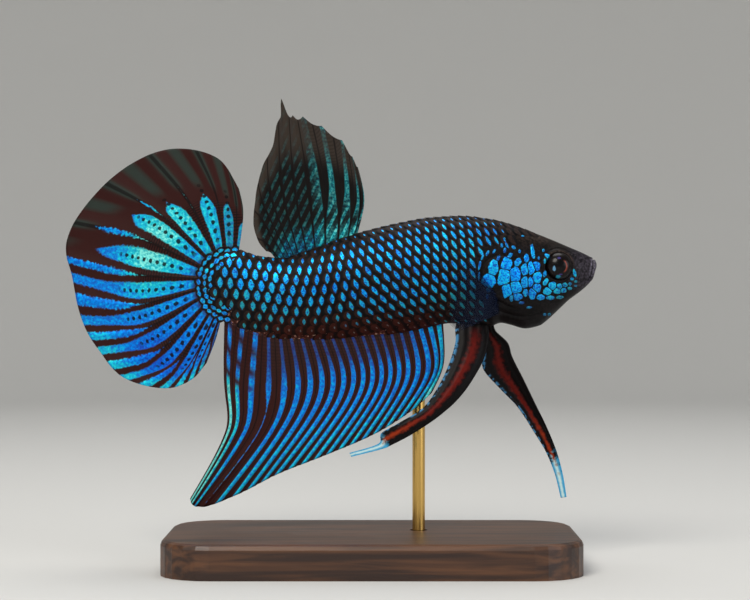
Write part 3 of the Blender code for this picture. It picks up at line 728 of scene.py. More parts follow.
# ------------------------------------------------------------
# The head plates: a mosaic of lacquered scales on the gill cover, the cheek and under the eye,
# with a few specks on the crown. Each is a low dome set into the skin; where two would meet,
# both stop at a thin black joint. Each line gives (back, up), half the length and half the
# height, how far it leans back at the top in degrees, and how bright its lacquer is.
# ------------------------------------------------------------
HEAD_PLATES = [
    # The gill cover, from its rear edge forwards
    (13.9, -0.1, 0.13, 0.55, 12, 0.75), (13.55, 0.95, 0.12, 0.45, 20, 0.7),
    (13.95, -1.35, 0.12, 0.5, 5, 0.6), (13.0, 1.3, 0.13, 0.4, 30, 0.7),
    (12.2, 1.55, 0.12, 0.3, 30, 0.6), (11.75, 0.75, 0.16, 0.4, 20, 0.7),
    (12.34, -0.47, 0.5, 1.0, 8, 0.9), (12.86, -1.91, 0.75, 0.75, 0, 0.95),
    (10.79, -0.01, 0.55, 0.85, 12, 1.0), (11.08, -1.39, 0.62, 1.4, 10, 1.0),
    (9.81, -1.22, 0.62, 1.0, 10, 1.0), (10.73, -2.95, 0.5, 1.0, -5, 0.95),
    (9.75, -2.66, 0.68, 0.8, 5, 0.95), (9.52, -3.75, 0.56, 0.4, 0, 0.7),
    (10.21, -3.87, 0.2, 0.4, 0, 0.5), (9.46, 0.28, 0.32, 0.5, 40, 0.85),
    (10.38, 1.03, 0.2, 0.4, 40, 0.7), (8.65, -0.58, 0.42, 0.7, 15, 0.9),
    (8.42, 0.74, 0.27, 0.5, 0, 0.9), (7.85, -0.41, 0.4, 0.95, 5, 1.0),
    (7.67, 1.43, 0.2, 0.95, -5, 0.9), (7.27, -0.18, 0.4, 0.5, 0, 0.95),
    (7.21, -1.56, 0.46, 0.75, 15, 1.0), (8.65, -2.08, 0.4, 0.68, 12, 0.85),
    (7.96, -2.02, 0.3, 0.62, 8, 0.9), (8.54, -3.29, 0.28, 0.4, 0, 0.7),
    (7.73, -3.35, 0.4, 0.66, 5, 0.8), (7.21, -2.72, 0.44, 0.5, 0, 0.85),
    # The cheek, in three rows that run forward under the eye
    (6.18, -2.02, 0.22, 0.45, 35, 0.8), (5.37, -2.48, 0.45, 0.44, 0, 0.8),
    (4.56, -2.54, 0.32, 0.3, 0, 0.65), (3.87, -2.37, 0.27, 0.24, 0, 0.55),
    (3.29, -2.25, 0.2, 0.18, 0, 0.35), (5.95, -3.12, 0.48, 0.4, 0, 0.8),
    (4.79, -3.06, 0.42, 0.32, 0, 0.65), (4.04, -3.0, 0.34, 0.26, 0, 0.55),
    (3.29, -2.77, 0.26, 0.18, 0, 0.4), (6.76, -3.81, 0.48, 0.3, 0, 0.7),
    (5.6, -3.87, 0.44, 0.24, 0, 0.55), (4.45, -3.81, 0.42, 0.18, 0, 0.35),
    # Round the eye
    (5.89, 0.87, 0.2, 0.52, -40, 0.9), (6.41, 1.68, 0.14, 0.18, 0, 0.6),
    (6.3, 0.41, 0.14, 0.3, 0, 0.6), (6.3, -1.09, 0.18, 0.34, 10, 0.8),
    (6.99, 0.76, 0.12, 0.2, 0, 0.6), (2.76, -0.97, 0.18, 0.44, -15, 0.75),
    (3.06, -1.67, 0.2, 0.16, 0, 0.6), (2.6, -1.96, 0.18, 0.15, 0, 0.35),
    (2.6, -2.48, 0.16, 0.12, 0, 0.3),
    # Specks on the crown, behind the gill cover and on the chin
    (8.77, 3.39, 0.17, 0.1, 0, 0.6), (9.92, 2.01, 0.24, 0.18, 30, 0.7),
    (9.23, 1.55, 0.14, 0.2, 0, 0.7), (10.73, 2.3, 0.12, 0.4, -25, 0.75),
    (11.3, 2.25, 0.15, 0.26, 0, 0.6), (10.96, 1.67, 0.15, 0.3, 10, 0.6),
    (10.96, 3.05, 0.1, 0.12, 0, 0.5), (12.9, -2.95, 0.22, 0.32, 0, 0.6),
    (13.0, -3.75, 0.14, 0.3, 0, 0.5), (8.08, -5.0, 0.3, 0.14, 0, 0.35),
    (9.0, -4.45, 0.3, 0.15, 0, 0.35), (6.18, -5.83, 0.2, 0.16, 0, 0.3),
    (5.6, -5.83, 0.2, 0.16, 0, 0.25),
]
PLATE_JOINT = 0.085
# How far out the lacquer goes on a plate, as a share of its cell
PLATE_SPOT = 0.34
PLATE_SPREAD = 1.12
PLATE_SIDES = 24
PLATE_RINGS = [0.0, 0.4, 0.75, 0.93, 1.0]
PLATE_HEIGHT = 0.075
# Plates further apart than this don't meet.
PLATE_NEIGHBOUR = 3.0

plate_centres = np.array([plate[:2] for plate in HEAD_PLATES])
plate_sizes = np.array([math.sqrt(plate[2] * plate[3]) for plate in HEAD_PLATES])
points, faces, uvs = [], [], []
values = {key: [] for key in PLATE_VALUES}
plate_faces = grid_faces(PLATE_SIDES, len(PLATE_RINGS) - 1)[:, ::-1]
spokes = np.linspace(0, 2 * math.pi, PLATE_SIDES + 1)
for number, (back, up, half_length, half_height, lean, strength) in enumerate(HEAD_PLATES):
    lean = math.radians(lean)
    away = spokes - lean
    reach = 1 / np.sqrt((np.cos(away) / half_length) ** 2 + (np.sin(away) / half_height) ** 2)
    reach = reach * (1 + 0.07 * np.cos(4 * away + number) + 0.04 * np.cos(7 * spokes + 2 * number))
    reach = reach * PLATE_SPREAD
    for other in range(len(HEAD_PLATES)):
        apart = plate_centres[other] - plate_centres[number]
        distance = math.hypot(*apart)
        if other == number or distance > PLATE_NEIGHBOUR:
            continue
        share = plate_sizes[number] / (plate_sizes[number] + plate_sizes[other])
        facing = (np.cos(spokes) * apart[0] + np.sin(spokes) * apart[1]) / distance
        limit = (share * distance - PLATE_JOINT / 2) / np.maximum(facing, 1e-6)
        reach = np.where(facing > 0.05, np.minimum(reach, np.maximum(limit, 0.05)), reach)
    rings, turns = np.meshgrid(PLATE_RINGS, np.arange(PLATE_SIDES + 1), indexing="ij")
    corner_back = back + (rings * reach[turns] * np.cos(spokes[turns])).ravel()
    corner_up = up + (rings * reach[turns] * np.sin(spokes[turns])).ravel()
    dome = 0.01 + PLATE_HEIGHT * (1 - rings.ravel() ** 4)
    green = 0.3 + 0.3 * smooth_step(7.5, 5.5, back) + 0.12 * math.sin(number * 2.3)
    corner_turn = turn_at_height(corner_back, corner_up)
    root_turn = float(turn_at_height(np.array(back), np.array(up))) / (2 * math.pi)
    v_root = (back / BODY_LENGTH) ** (1 / SKIN_CROWDING)
    add_plates(on_skin(corner_back, corner_turn, dome), on_skin(corner_back, math.pi - corner_turn, dome),
               plate_faces, root_turn, v_root, (corner_back - back) / half_length * PATCH / 3,
               (corner_up - up) / half_height * PATCH / 3,
               (rings.ravel() * 0.3 - SPOT_SHIFT, 0.0, PLATE_SPOT, 1.0, strength, green, 0.0))
plates = joined_plates("head_plates")
bpy.context.view_layer.objects.active = plates
close_up(plates, merge=0.0005)
plates.data.materials.append(scale_lacquer)
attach(plates, "root")


# ------------------------------------------------------------
# The eyes: resin balls with a black pupil in a dark iris, polished like glass, with blue patches of
# painted reflection and violet patches of painted sheen on the iris. Each is a ball flattened to the width
# of its socket.
# ------------------------------------------------------------
EYE_RADIUS = 1.6
EYE_BULGE = 1.12
PUPIL_RADIUS = 0.76
EYE_BLACK = "050406"
IRIS_BROWN = "0E0808"
IRIS_EMBER = "7A3326"
PAINTED_GLINT_BLUE = "5E93B8"
PAINTED_SHEEN_VIOLET = "3A3470"
EYE_GLINT_GRAIN = 0.25
# Painted reflections and sheen of light on the iris, as bright patches: how far behind and above its
# middle, their half sizes, the colour
PAINTED_IRIS_GLINTS = [(0.58, -0.25, 0.2, 0.42, PAINTED_GLINT_BLUE), (0.1, -1.2, 0.42, 0.24, "1E7F9A"),
               (0.0, 0.95, 0.24, 0.16, PAINTED_SHEEN_VIOLET), (-0.15, -0.95, 0.3, 0.12, PAINTED_SHEEN_VIOLET)]

eye_glass, add, shader = new_material("polished_resin_eye", Roughness=0.3, IOR=1.5,
                                      Specular_IOR_Level=0.1, Coat_Weight=0.15, Coat_Roughness=0.04)
where = add("TexCoord", output=3)
place_x, _, place_z = add("SeparateXYZ", where).node.outputs
eye_x = add("Math SUBTRACT", place_x, eye_middle.x)
eye_z = add("Math SUBTRACT", place_z, eye_middle.z)
flat = add("CombineXYZ", eye_x, eye_z, 0.0)
radius = add("VectorMath LENGTH", flat)
radius = add("Math DIVIDE", radius, MM)
angle = add("Math ARCTAN2", eye_z, eye_x)
eye_glint_ragging = add("TexNoise", where, 1 / (EYE_GLINT_GRAIN * MM), 3.0)
iris = add("MapRange", radius, PUPIL_RADIUS - 0.04, PUPIL_RADIUS + 0.05, 0.0, 1.0)
tone = add("Mix RGBA", iris, colour(EYE_BLACK), colour(IRIS_BROWN))
angle = add("Math ABSOLUTE", angle)
ember = add("MapRange SMOOTHSTEP", angle, 1.05, 0.6, 0.0, 1.0)
ember_ring = add("MapRange", radius, PUPIL_RADIUS, PUPIL_RADIUS + 0.06, 0.0, 1.0)
ember_end = add("MapRange", radius, PUPIL_RADIUS + 0.12, PUPIL_RADIUS + 0.24, 1.0, 0.0)
ember = add("Math MULTIPLY", ember, ember_ring)
ember = add("Math MULTIPLY", ember, ember_end)
tone = add("Mix RGBA", ember, tone, colour(IRIS_EMBER))
# Each painted patch of reflected light is a soft spot with a ragged edge, mixed over the iris.
for behind, above, half_across, half_up, eye_glint_colour in PAINTED_IRIS_GLINTS:
    eye_glint_x = add("Math ADD", eye_x, behind * MM)
    eye_glint_x = add("Math DIVIDE", eye_glint_x, half_across * MM)
    eye_glint_z = add("Math SUBTRACT", eye_z, above * MM)
    eye_glint_z = add("Math DIVIDE", eye_glint_z, half_up * MM)
    eye_glint = add("CombineXYZ", eye_glint_x, eye_glint_z, 0.0)
    eye_glint = add("VectorMath LENGTH", eye_glint)
    eye_glint = add("Math ADD", eye_glint, eye_glint_ragging)
    eye_glint = add("MapRange SMOOTHSTEP", eye_glint, 1.45, 1.05, 0.0, 0.9)
    tone = add("Mix RGBA", eye_glint, tone, colour(eye_glint_colour))
set_inputs(shader, Base_Color=tone)

for word, side in (("right", -1), ("left", 1)):
    deselect_all()
    bpy.ops.mesh.primitive_uv_sphere_add(segments=48, ring_count=24, radius=MM)
    eye = bpy.context.object
    eye.name = f"eyeball_{word}"
    bpy.ops.object.mode_set(mode="EDIT")
    bpy.ops.mesh.select_all(action="SELECT")
    bpy.ops.transform.rotate(value=math.pi / 2, orient_axis="X", center_override=(0, 0, 0))
    bpy.ops.transform.resize(value=(EYE_RADIUS, EYE_BULGE, EYE_RADIUS), center_override=(0, 0, 0))
    bpy.ops.transform.translate(value=place(EYE_BACK, EYE_UP, side * EYE_SIDE))
    bpy.ops.mesh.normals_make_consistent(inside=False)
    bpy.ops.object.mode_set(mode="OBJECT")
    bpy.ops.object.shade_smooth()
    eye.data.materials.append(eye_glass)
    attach(eye, "root")
    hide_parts(f"eye_{word}")


# ------------------------------------------------------------
# The tail fin: a round sheet of clear film over fanned rays, thin between them and ridged on
# them. Blue bands run out between dark red ones, and a finer blue line opens in each red band.
# ------------------------------------------------------------
TAIL_RAYS = [(99, (41.4, 6.0), (41.9, 8.9)), (83, (43.3, 7.5), (44.5, 12.6)),
             (67, (46.0, 8.1), (49.8, 13.7)), (52, (49.8, 6.7), (55.2, 11.7)),
             (37, (52.6, 5.1), (60.0, 7.4)), (20, (54.4, 1.0), (62.6, 2.8)),
             (3, (54.4, -3.0), (61.9, -1.4)), (-13, (54.0, -6.2), (60.7, -6.5)),
             (-27, (52.4, -8.8), (58.6, -10.1)), (-41, (50.6, -11.3), (55.6, -13.3)),
             (-53, (48.0, -11.4), (50.8, -14.5)), (-63, (46.4, -10.4), (47.6, -13.5)),
             (-69, (44.65, -8.7), (45.7, -11.4))]
FIN_ROOT_INSIDE = 0.5
PLEAT = 0.1
# The film's thickness between the rays, as a share of its thickness on them
FILM_BETWEEN_RAYS = 0.4
DOT_SPACING = 0.95
DOT_RADIUS = 0.25
RUNG_SPACING = 0.36
FIN_MAROON = "2F1311"
FIN_BLACK = "080506"
FIN_DUSK = "28302C"
FIN_DEEP = "0655D8"
FIN_BLUE = "088CF0"
FIN_CYAN = "1CD2E0"
# The palest end of the fin's blue, where a painted highlight is laid on it.
FIN_HIGHLIGHT_PALE = "86F0E8"
FIN_METAL = 0.75
FILM_GRAIN = 0.32


def ray_point(root, middle, tip, share):
    """Points on the ray from root to tip that bends at middle, as a cubic curve."""
    bend = [(8 * m - r - t) / 6 for r, m, t in zip(root, middle, tip)]
    return [(1 - share) ** 3 * r + 3 * share * (1 - share) * b + share ** 3 * t
            for r, b, t in zip(root, bend, tip)]


def finish_fin(piece, film, thickness, on_rays):
    """Gives the sheet its thickness, more of it in a few even steps as on_rays goes from 0 to 1,
    shades it and coats it with its film."""
    group = piece.vertex_groups.new(name="rays")
    levels = np.round(np.clip(on_rays, 0, 1) * 8).astype(int)
    for level in range(1, 9):
        chosen = np.flatnonzero(levels == level)
        if len(chosen):
            group.add(chosen.tolist(), level / 8, "REPLACE")
    bpy.context.view_layer.objects.active = piece
    solid = piece.modifiers.new("film", "SOLIDIFY")
    solid.thickness = thickness * MM
    solid.offset = 0.0
    solid.vertex_group = group.name
    solid.thickness_vertex_group = FILM_BETWEEN_RAYS
    bpy.ops.object.modifier_apply(modifier=solid.name)
    bpy.ops.object.shade_smooth()
    piece.data.materials.append(film)


def fin_material(name, ground_colour, dusk_colour, mottle_low):
    """Film lacquer for the big fins, from numbers stored on the fin: which ray, how far out, the
    bands' widths, and how strong, how green and how dusky the colour is. The blue is metallic."""
    made, add, shader = new_material(name, Roughness=0.5, IOR=1.45, Specular_IOR_Level=0.12)
    ray, out, band, sliver, glow, green, dusk, dots, pitch, bars, barred, rungs = (
        add("Attribute " + key, output=2)
        for key in ("ray", "out", "band", "sliver", "glow", "green", "dusk", "dots", "pitch", "bars",
                    "barred", "rungs"))
    where = add("TexCoord", output=3)
    fine = add("TexNoise", where, 1 / (FILM_GRAIN * MM), 3.0)
    ragged = add("MapRange", fine, 0.3, 0.7, -0.03, 0.03)
    # Distance from the nearest whole ray number, 0 to 0.5
    nearest = add("Math ROUND", ray)
    signed = add("Math SUBTRACT", ray, nearest)
    off = add("Math ABSOLUTE", signed)
    rough_off = add("Math ADD", off, ragged)
    gap = add("Math SUBTRACT", band, rough_off)
    blue = add("MapRange SMOOTHSTEP", gap, -0.03, 0.03, 0.0, 1.0)
    between = add("Math SUBTRACT", 0.5, rough_off)
    gap = add("Math SUBTRACT", sliver, between)
    fine_blue = add("MapRange SMOOTHSTEP", gap, -0.03, 0.03, 0.0, 1.0)
    blue = add("Math MAXIMUM", blue, fine_blue)
    # One row of round dark dots down the middle of each blue band
    dot_off = add("Math MULTIPLY", off, pitch)
    dot_off = add("Math DIVIDE", dot_off, DOT_RADIUS)
    phase = add("Math MULTIPLY", out, 1 / DOT_SPACING)
    stagger = add("Math MULTIPLY_ADD", nearest, 0.37, phase)
    phase = add("Math PINGPONG", stagger, 0.5)
    phase = add("Math MULTIPLY", phase, DOT_SPACING / DOT_RADIUS)
    spread = add("CombineXYZ", dot_off, phase, 0.0)
    spread = add("VectorMath LENGTH", spread)
    spread = add("Math MULTIPLY_ADD", ragged, 6.7, spread)
    dot = add("MapRange SMOOTHSTEP", spread, 1.2, 0.8, 0.0, 1.0)
    dot = add("Math MULTIPLY", dot, dots)
    # Slanting bars across the bands
    wave = add("Math MULTIPLY", bars, 2 * math.pi)
    wave = add("Math SINE", wave)
    wave = add("MapRange SMOOTHSTEP", wave, 0.15, 0.65, 1.0, 0.0)
    wave = add("Math MULTIPLY", wave, barred)
    wave = add("Math SUBTRACT", 1.0, wave)
    blue = add("Math MULTIPLY", blue, wave)
    mottle = add("MapRange", fine, 0.35, 0.6, mottle_low, 1.0)
    blue = add("Math MULTIPLY", blue, mottle)
    blue = add("Math MULTIPLY", blue, glow)
    ground = add("Mix RGBA", dusk, colour(ground_colour), colour(dusk_colour))
    ray_line = add("MapRange SMOOTHSTEP", off, 0.44, 0.475, 0.0, 0.75)
    # Fine rungs, like a ladder, across the dark bands near the root
    rung = add("Math MULTIPLY", out, 1 / RUNG_SPACING)
    rung = add("Math PINGPONG", rung, 0.5)
    rung = add("MapRange SMOOTHSTEP", rung, 0.3, 0.16, 0.0, 1.0)
    rung = add("Math MULTIPLY", rung, rungs)
    darker = add("Math MAXIMUM", ray_line, rung)
    ground = add("Mix RGBA", darker, ground, colour(FIN_BLACK))
    hue_place = add("Math MULTIPLY_ADD", ragged, 7.0, green)
    hue = add("ValToRGB", hue_place)
    ramp = hue.node.color_ramp
    ramp.elements[0].color = colour(FIN_DEEP)
    ramp.elements[1].color = colour(FIN_HIGHLIGHT_PALE)
    ramp.elements.new(0.4).color = colour(FIN_BLUE)
    ramp.elements.new(0.78).color = colour(FIN_CYAN)
    tone = add("Mix RGBA", blue, ground, hue)
    tone = add("Mix RGBA", dot, tone, colour(FIN_BLACK))
    metal = add("Math MULTIPLY", blue, FIN_METAL)
    undotted = add("Math SUBTRACT", 1.0, dot)
    metal = add("Math MULTIPLY", metal, undotted)
    bumps = add("Bump", Strength=0.25, Distance=0.03 * MM, Height=fine)
    set_inputs(shader, Base_Color=tone, Metallic=metal, Normal=bumps)
    return made


fin_film = fin_material("blue_and_maroon_lacquered_film", FIN_MAROON, FIN_DUSK, 0.7)

TAIL_COLUMNS_PER_RAY = 16
TAIL_ROWS = 84
# Where each band's blue stops, as a share of the ray, against the ray's number
TAIL_BLUE_END = [(0, 0.4), (1, 0.55), (2, 0.6), (3, 0.66), (4, 0.78), (5, 0.95), (6, 1.3), (12, 1.3)]
tail_blue_end = smooth_line(TAIL_BLUE_END)
tail_ray_count = len(TAIL_RAYS) - 1
tail_rays = rounded_path([(angle, *middle, *tip) for angle, middle, tip in TAIL_RAYS])

tail, across, along = grid_piece("tail_fin", tail_ray_count * TAIL_COLUMNS_PER_RAY, TAIL_ROWS)
angle, mid_back, mid_up, tip_back, tip_up = tail_rays(across).T
angle = np.radians(angle)
reach = TAIL_ROOT_RADIUS - FIN_ROOT_INSIDE
root = (TAIL_ROOT_BACK + reach * np.cos(angle), TAIL_ROOT_UP + reach * np.sin(angle))
tail_back, tail_up = ray_point(root, (mid_back, mid_up), (tip_back, tip_up), along)
ray = across * tail_ray_count
ray_off = np.abs(ray - np.round(ray))
set_points(tail, place(tail_back, tail_up, PLEAT * np.cos(2 * math.pi * ray) * along))
out = along * np.hypot(tip_back - root[0], tip_up - root[1])
beyond = smooth_step(-0.04, 0.12, along - tail_blue_end(ray))
upper = smooth_step(6.5, 4.5, ray)
band = 0.31 - 0.04 * smooth_step(0.2, 0.5, along) - 0.14 * smooth_step(0.45, 0.85, along)
opens = smooth_step(0.3, 0.72, along) * (1 - 0.45 * upper) * smooth_step(2.0, 4.0, ray)
opens *= 1 - smooth_step(-0.1, 0.1, along - tail_blue_end(ray))
# A painted highlight: a thin bright line along the fin's edge near its top.
rim_highlight = smooth_step(0.975, 0.99, along) * smooth_step(3.0, 1.6, ray)
# A painted highlight: a near-white cyan patch on the blue of the middle rays near the root.
core = bump(np.hypot((ray - 4.6) / 1.7, (along - 0.36) / 0.26), 1.0)
outer_low = smooth_step(0.72, 0.95, along) * smooth_step(6.5, 8.0, ray)
royal = bump(np.hypot((ray - 9.0) / 1.6, (along - 0.55) / 0.3), 1.0)
sheets = (TAIL_ROWS + 1, -1)
pitch = np.hypot(np.gradient(tail_back.reshape(sheets), axis=1),
                 np.gradient(tail_up.reshape(sheets), axis=1)).ravel() * TAIL_COLUMNS_PER_RAY
glow = (1.0 - 0.97 * beyond) * smooth_step(12.4, 11.0, ray) * (0.6 + 0.4 * smooth_step(0.8, 2.2, ray))
set_values(
    tail, ray=ray, out=out, pitch=pitch,
    band=band - 0.4 * smooth_step(-0.25, 0.05, along - tail_blue_end(ray)),
    sliver=0.17 * opens - 0.04,
    glow=np.maximum(glow, 0.6 * rim_highlight) * smooth_step(0.02, 0.07, along),
    green=0.34 + 0.62 * core + 0.25 * smooth_step(4.0, 2.5, ray) + 0.35 * outer_low - 0.25 * royal,
    dusk=beyond * upper * smooth_step(0.1, 0.16, np.abs(ray_off - 0.26)),
    dots=0.95 * smooth_step(0.7, 0.58, along) * smooth_step(0.05, 0.1, along) * smooth_step(0.2, 1.0, ray),
    rungs=0.85 * smooth_step(0.5, 0.38, along))
finish_fin(tail, fin_film, FILM_THICKNESS,
           bump(ray_off - 0.5, 0.09) * (1 - 0.5 * along) + 0.35 * bump(ray_off, 0.1))
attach(tail, "root")
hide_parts("fin_tail")


# ------------------------------------------------------------
# The anal fin: the long curtain under the belly, swept back to a point, of the same lacquered
# film, with a blue band between every pair of rays.
# ------------------------------------------------------------
ANAL_RAYS = [(-0.5, 18.0, (17.9, -11.4), (19.3, -14.9)), (1, 19.6, (18.8, -12.1), (21.5, -16.9)),
             (4, 23.0, (22.2, -13.3), (25.9, -19.7)), (8, 27.5, (26.4, -14.2), (31.4, -22.1)),
             (12, 32.2, (31.1, -15.2), (37.4, -24.5)), (15, 35.8, (35.4, -16.5), (42.3, -27.0)),
             (17, 38.4, (38.8, -17.9), (46.2, -28.4)), (18, 39.9, (40.5, -17.9), (47.1, -28.35)),
             (19, 41.5, (41.8, -17.8), (47.5, -28.05)), (20.5, 43.6, (43.0, -17.7), (47.65, -27.5))]
# How far the upper part of the rear rays bulges back: (ray number, bulge)
ANAL_LOBE = [(15.5, 0.0), (17.0, 0.3), (19.0, 0.85), (20.5, 0.85)]
ANAL_LOBE_END = 0.55
ANAL_LOBE_FADE = 0.35
ANAL_COLUMNS_PER_RAY = 12
ANAL_ROWS = 84


def ray_lines(rays):
    """The first and last ray's number, and smooth functions of it for a ray's five numbers."""
    rows = [(number, root, *middle, *tip) for number, root, middle, tip in rays]
    lines = [smooth_line([(row[0], row[part]) for row in rows]) for part in range(1, 6)]
    return rows[0][0], rows[-1][0], lines


first, last, lines = ray_lines(ANAL_RAYS)
anal_count = round(last - first)
anal, across, along = grid_piece("anal_fin", anal_count * ANAL_COLUMNS_PER_RAY, ANAL_ROWS)
ray = first + (last - first) * across
root_back, mid_back, mid_up, tip_back, tip_up = (line(ray) for line in lines)
root = (root_back, bottom_of_body(root_back) + FIN_ROOT_INSIDE)
anal_back, anal_up = ray_point(root, (mid_back, mid_up), (tip_back, tip_up), along)
rise = np.sin(math.pi * np.minimum(along / ANAL_LOBE_END, 0.5))
fall = 0.5 + 0.5 * np.cos(math.pi * np.clip((along - ANAL_LOBE_END / 2) / ANAL_LOBE_FADE, 0, 1))
anal_back += smooth_line(ANAL_LOBE)(ray) * rise * fall
ray_off = np.abs(ray - np.round(ray))
set_points(anal, place(anal_back, anal_up, PLEAT * np.cos(2 * math.pi * (ray - first)) * along))
rearward = smooth_step(14.0, 18.0, ray)
wide_gap = bump(ray - 17.0, 0.6) * smooth_step(0.25, 0.45, along)
band = (0.22 - 0.05 * rearward + 0.05 * smooth_step(3.0, 0.0, ray)) * (1 - 0.9 * wide_gap)
washed = smooth_step(0.34, 0.1, along) * smooth_step(1.5, 4.5, ray) * smooth_step(17.8, 16.8, ray)
broken = 0.5 + 0.5 * np.sin(along * 60 + ray * 2.4)
broken = 1 - (1 - broken) * smooth_step(17.0, 18.2, ray) * smooth_step(0.36, 0.26, along)
edge = smooth_step(0.985, 0.992, along)
set_values(
    anal, ray=ray, out=along * np.hypot(tip_back - root[0], tip_up - root[1]),
    band=band - 0.04 * smooth_step(0.85, 1.0, along) - 0.07 * washed,
    sliver=-0.1,
    glow=np.maximum((0.97 - 0.72 * washed) * broken, 0.6 * edge),
    # The rear rays turn pale green away from the root: painted glints of light.
    green=0.36 + 0.25 * smooth_step(0.6, 1.0, along) + 0.25 * smooth_step(1.6, 0.0, ray)
          + 0.6 * smooth_step(18.4, 19.6, ray) * smooth_step(0.15, 0.35, along) - 0.2 * washed,
    dusk=0.15 * washed,
    rungs=0.35 * smooth_step(0.3, 0.1, along))
finish_fin(anal, fin_film, FILM_THICKNESS,
           bump(ray_off - 0.5, 0.1) * (1 - 0.4 * along) + 0.3 * bump(ray_off, 0.1))
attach(anal, "root")
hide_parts("fin_anal")


# ------------------------------------------------------------
# The dorsal fin: a tall fan on the back, of brown film with slanting teal bars between its dark
# rays. Its highest ray runs out into a short filament.
# ------------------------------------------------------------
DORSAL_RAYS = [(0, 28.1, (27.2, 7.6), (28.0, 11.5)), (1, 28.8, (27.9, 7.6), (28.6, 12.7)),
               (2, 29.6, (29.2, 8.8), (29.8, 14.6)), (3, 31.1, (31.0, 9.4), (32.2, 16.3)),
               (4, 32.4, (32.9, 9.9), (34.4, 17.4)), (5, 33.4, (34.7, 9.6), (35.6, 17.55)),
               (6, 34.4, (36.1, 9.4), (36.45, 17.5)), (6.4, 34.75, (36.7, 9.2), (37.1, 17.1)),
               (6.7, 34.95, (37.1, 8.9), (37.45, 16.4)), (7, 35.1, (37.5, 8.4), (37.85, 14.2)),
               (8, 35.6, (38.5, 7.3), (39.2, 11.3)), (9, 36.1, (39.0, 6.0), (39.95, 7.9)),
               (10, 36.6, (38.9, 3.8), (40.2, 4.9)), (10.6, 37.0, (38.6, 2.3), (39.6, 2.75)),
               (11, 37.4, (38.1, 1.4), (38.7, 1.62))]
DORSAL_FILAMENT_RAY = 6.0
DORSAL_FILAMENT = (0.5, 2.0)
DORSAL_FILAMENT_SPREAD = 0.18
DORSAL_SCALLOP = 0.35
DORSAL_COLUMNS_PER_RAY = 16
DORSAL_ROWS = 84
BAR_PERIOD = 0.9
BAR_SLOPE = math.radians(63)
DORSAL_BROWN = "0B0807"
DORSAL_TIP = "38302A"

first, last, lines = ray_lines(DORSAL_RAYS)
dorsal_count = round(last - first)
dorsal, across, along = grid_piece("dorsal_fin", dorsal_count * DORSAL_COLUMNS_PER_RAY, DORSAL_ROWS)
ray = first + (last - first) * across
root_back, mid_back, mid_up, tip_back, tip_up = (line(ray) for line in lines)
root = (root_back, top_of_body(root_back) - FIN_ROOT_INSIDE)
filament = bump(ray - DORSAL_FILAMENT_RAY, DORSAL_FILAMENT_SPREAD)
tip = (tip_back + DORSAL_FILAMENT[0] * filament, tip_up + DORSAL_FILAMENT[1] * filament)
# The front margin dips between the tips of its rays.
dip = DORSAL_SCALLOP * np.abs(np.sin(math.pi * ray)) * smooth_step(5.8, 5.0, ray)
reach = along * (1 - dip / np.hypot(tip[0] - root[0], tip[1] - root[1]))
dorsal_back, dorsal_up = ray_point(root, (mid_back, mid_up), tip, reach)
ray_off = np.abs(ray - np.round(ray))
set_points(dorsal, place(dorsal_back, dorsal_up, PLEAT * np.cos(2 * math.pi * ray) * along))
tipward = smooth_step(0.62, 0.9, along)
front = smooth_step(4.8, 3.2, ray)
lit_base = smooth_step(0.2, 0.04, along)
# A painted highlight along the fin's edge at its front rays.
rim_highlight = smooth_step(0.97, 0.985, along) * front
# The bars lean forward at the top.
slant = dorsal_back * math.sin(BAR_SLOPE) + dorsal_up * math.cos(BAR_SLOPE)
set_values(
    dorsal, ray=ray, out=along * np.hypot(tip_back - root[0], tip_up - root[1]),
    band=0.43 - 0.1 * along - 0.2 * front * smooth_step(0.1, 0.5, along),
    sliver=-0.1,
    glow=np.maximum((0.075 + 0.32 * front + 0.45 * lit_base) * (1 - 0.8 * tipward), 0.35 * rim_highlight),
    green=0.8 - 0.22 * lit_base * (1 - front),
    dusk=0.8 * tipward,
    bars=slant / BAR_PERIOD,
    barred=(1 - 0.8 * front * smooth_step(0.15, 0.5, along)) * (1 - 0.3 * lit_base),
    rungs=0.3 * front)
dorsal_film = fin_material("brown_film_with_teal_bars", DORSAL_BROWN, DORSAL_TIP, 0.15)
finish_fin(dorsal, dorsal_film, FILM_THICKNESS,
           bump(ray_off - 0.5, 0.09) * (1 - 0.5 * along) + 0.2 * bump(ray_off, 0.1))
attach(dorsal, "root")
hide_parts("fin_dorsal")


# ------------------------------------------------------------
# The pelvic fins: two long narrow blades under the breast, of red and black lacquered film with
# a pale blue tip. Stations along each give its front edge, its rear edge and its distance out.
# ------------------------------------------------------------
PELVIC_RIGHT = [((12.7, -7.75), (16.6, -7.5), 1.2), ((13.0, -9.9), (16.6, -9.1), 1.7),
                ((14.0, -12.2), (17.4, -11.7), 2.3), ((16.0, -15.1), (18.7, -14.3), 2.9),
                ((18.5, -17.4), (20.4, -16.6), 3.3), ((21.6, -19.5), (23.2, -18.3), 3.5),
                ((24.0, -20.8), (25.2, -19.45), 3.5), ((25.2, -21.3), (25.6, -20.7), 3.45),
                ((28.7, -22.2), (28.9, -21.75), 3.3)]
PELVIC_LEFT = [((11.8, -7.75), (13.7, -7.8), 1.2), ((10.3, -9.2), (13.2, -10.2), 1.9),
               ((9.7, -10.9), (13.1, -12.3), 2.6), ((8.3, -13.6), (11.1, -14.6), 3.7),
               ((6.8, -16.6), (8.8, -17.0), 4.8), ((5.4, -19.3), (6.7, -20.2), 5.7),
               ((4.2, -22.1), (5.4, -22.4), 6.4), ((3.4, -24.9), (4.3, -25.1), 6.8),
               ((2.9, -27.8), (3.6, -27.9), 7.0)]
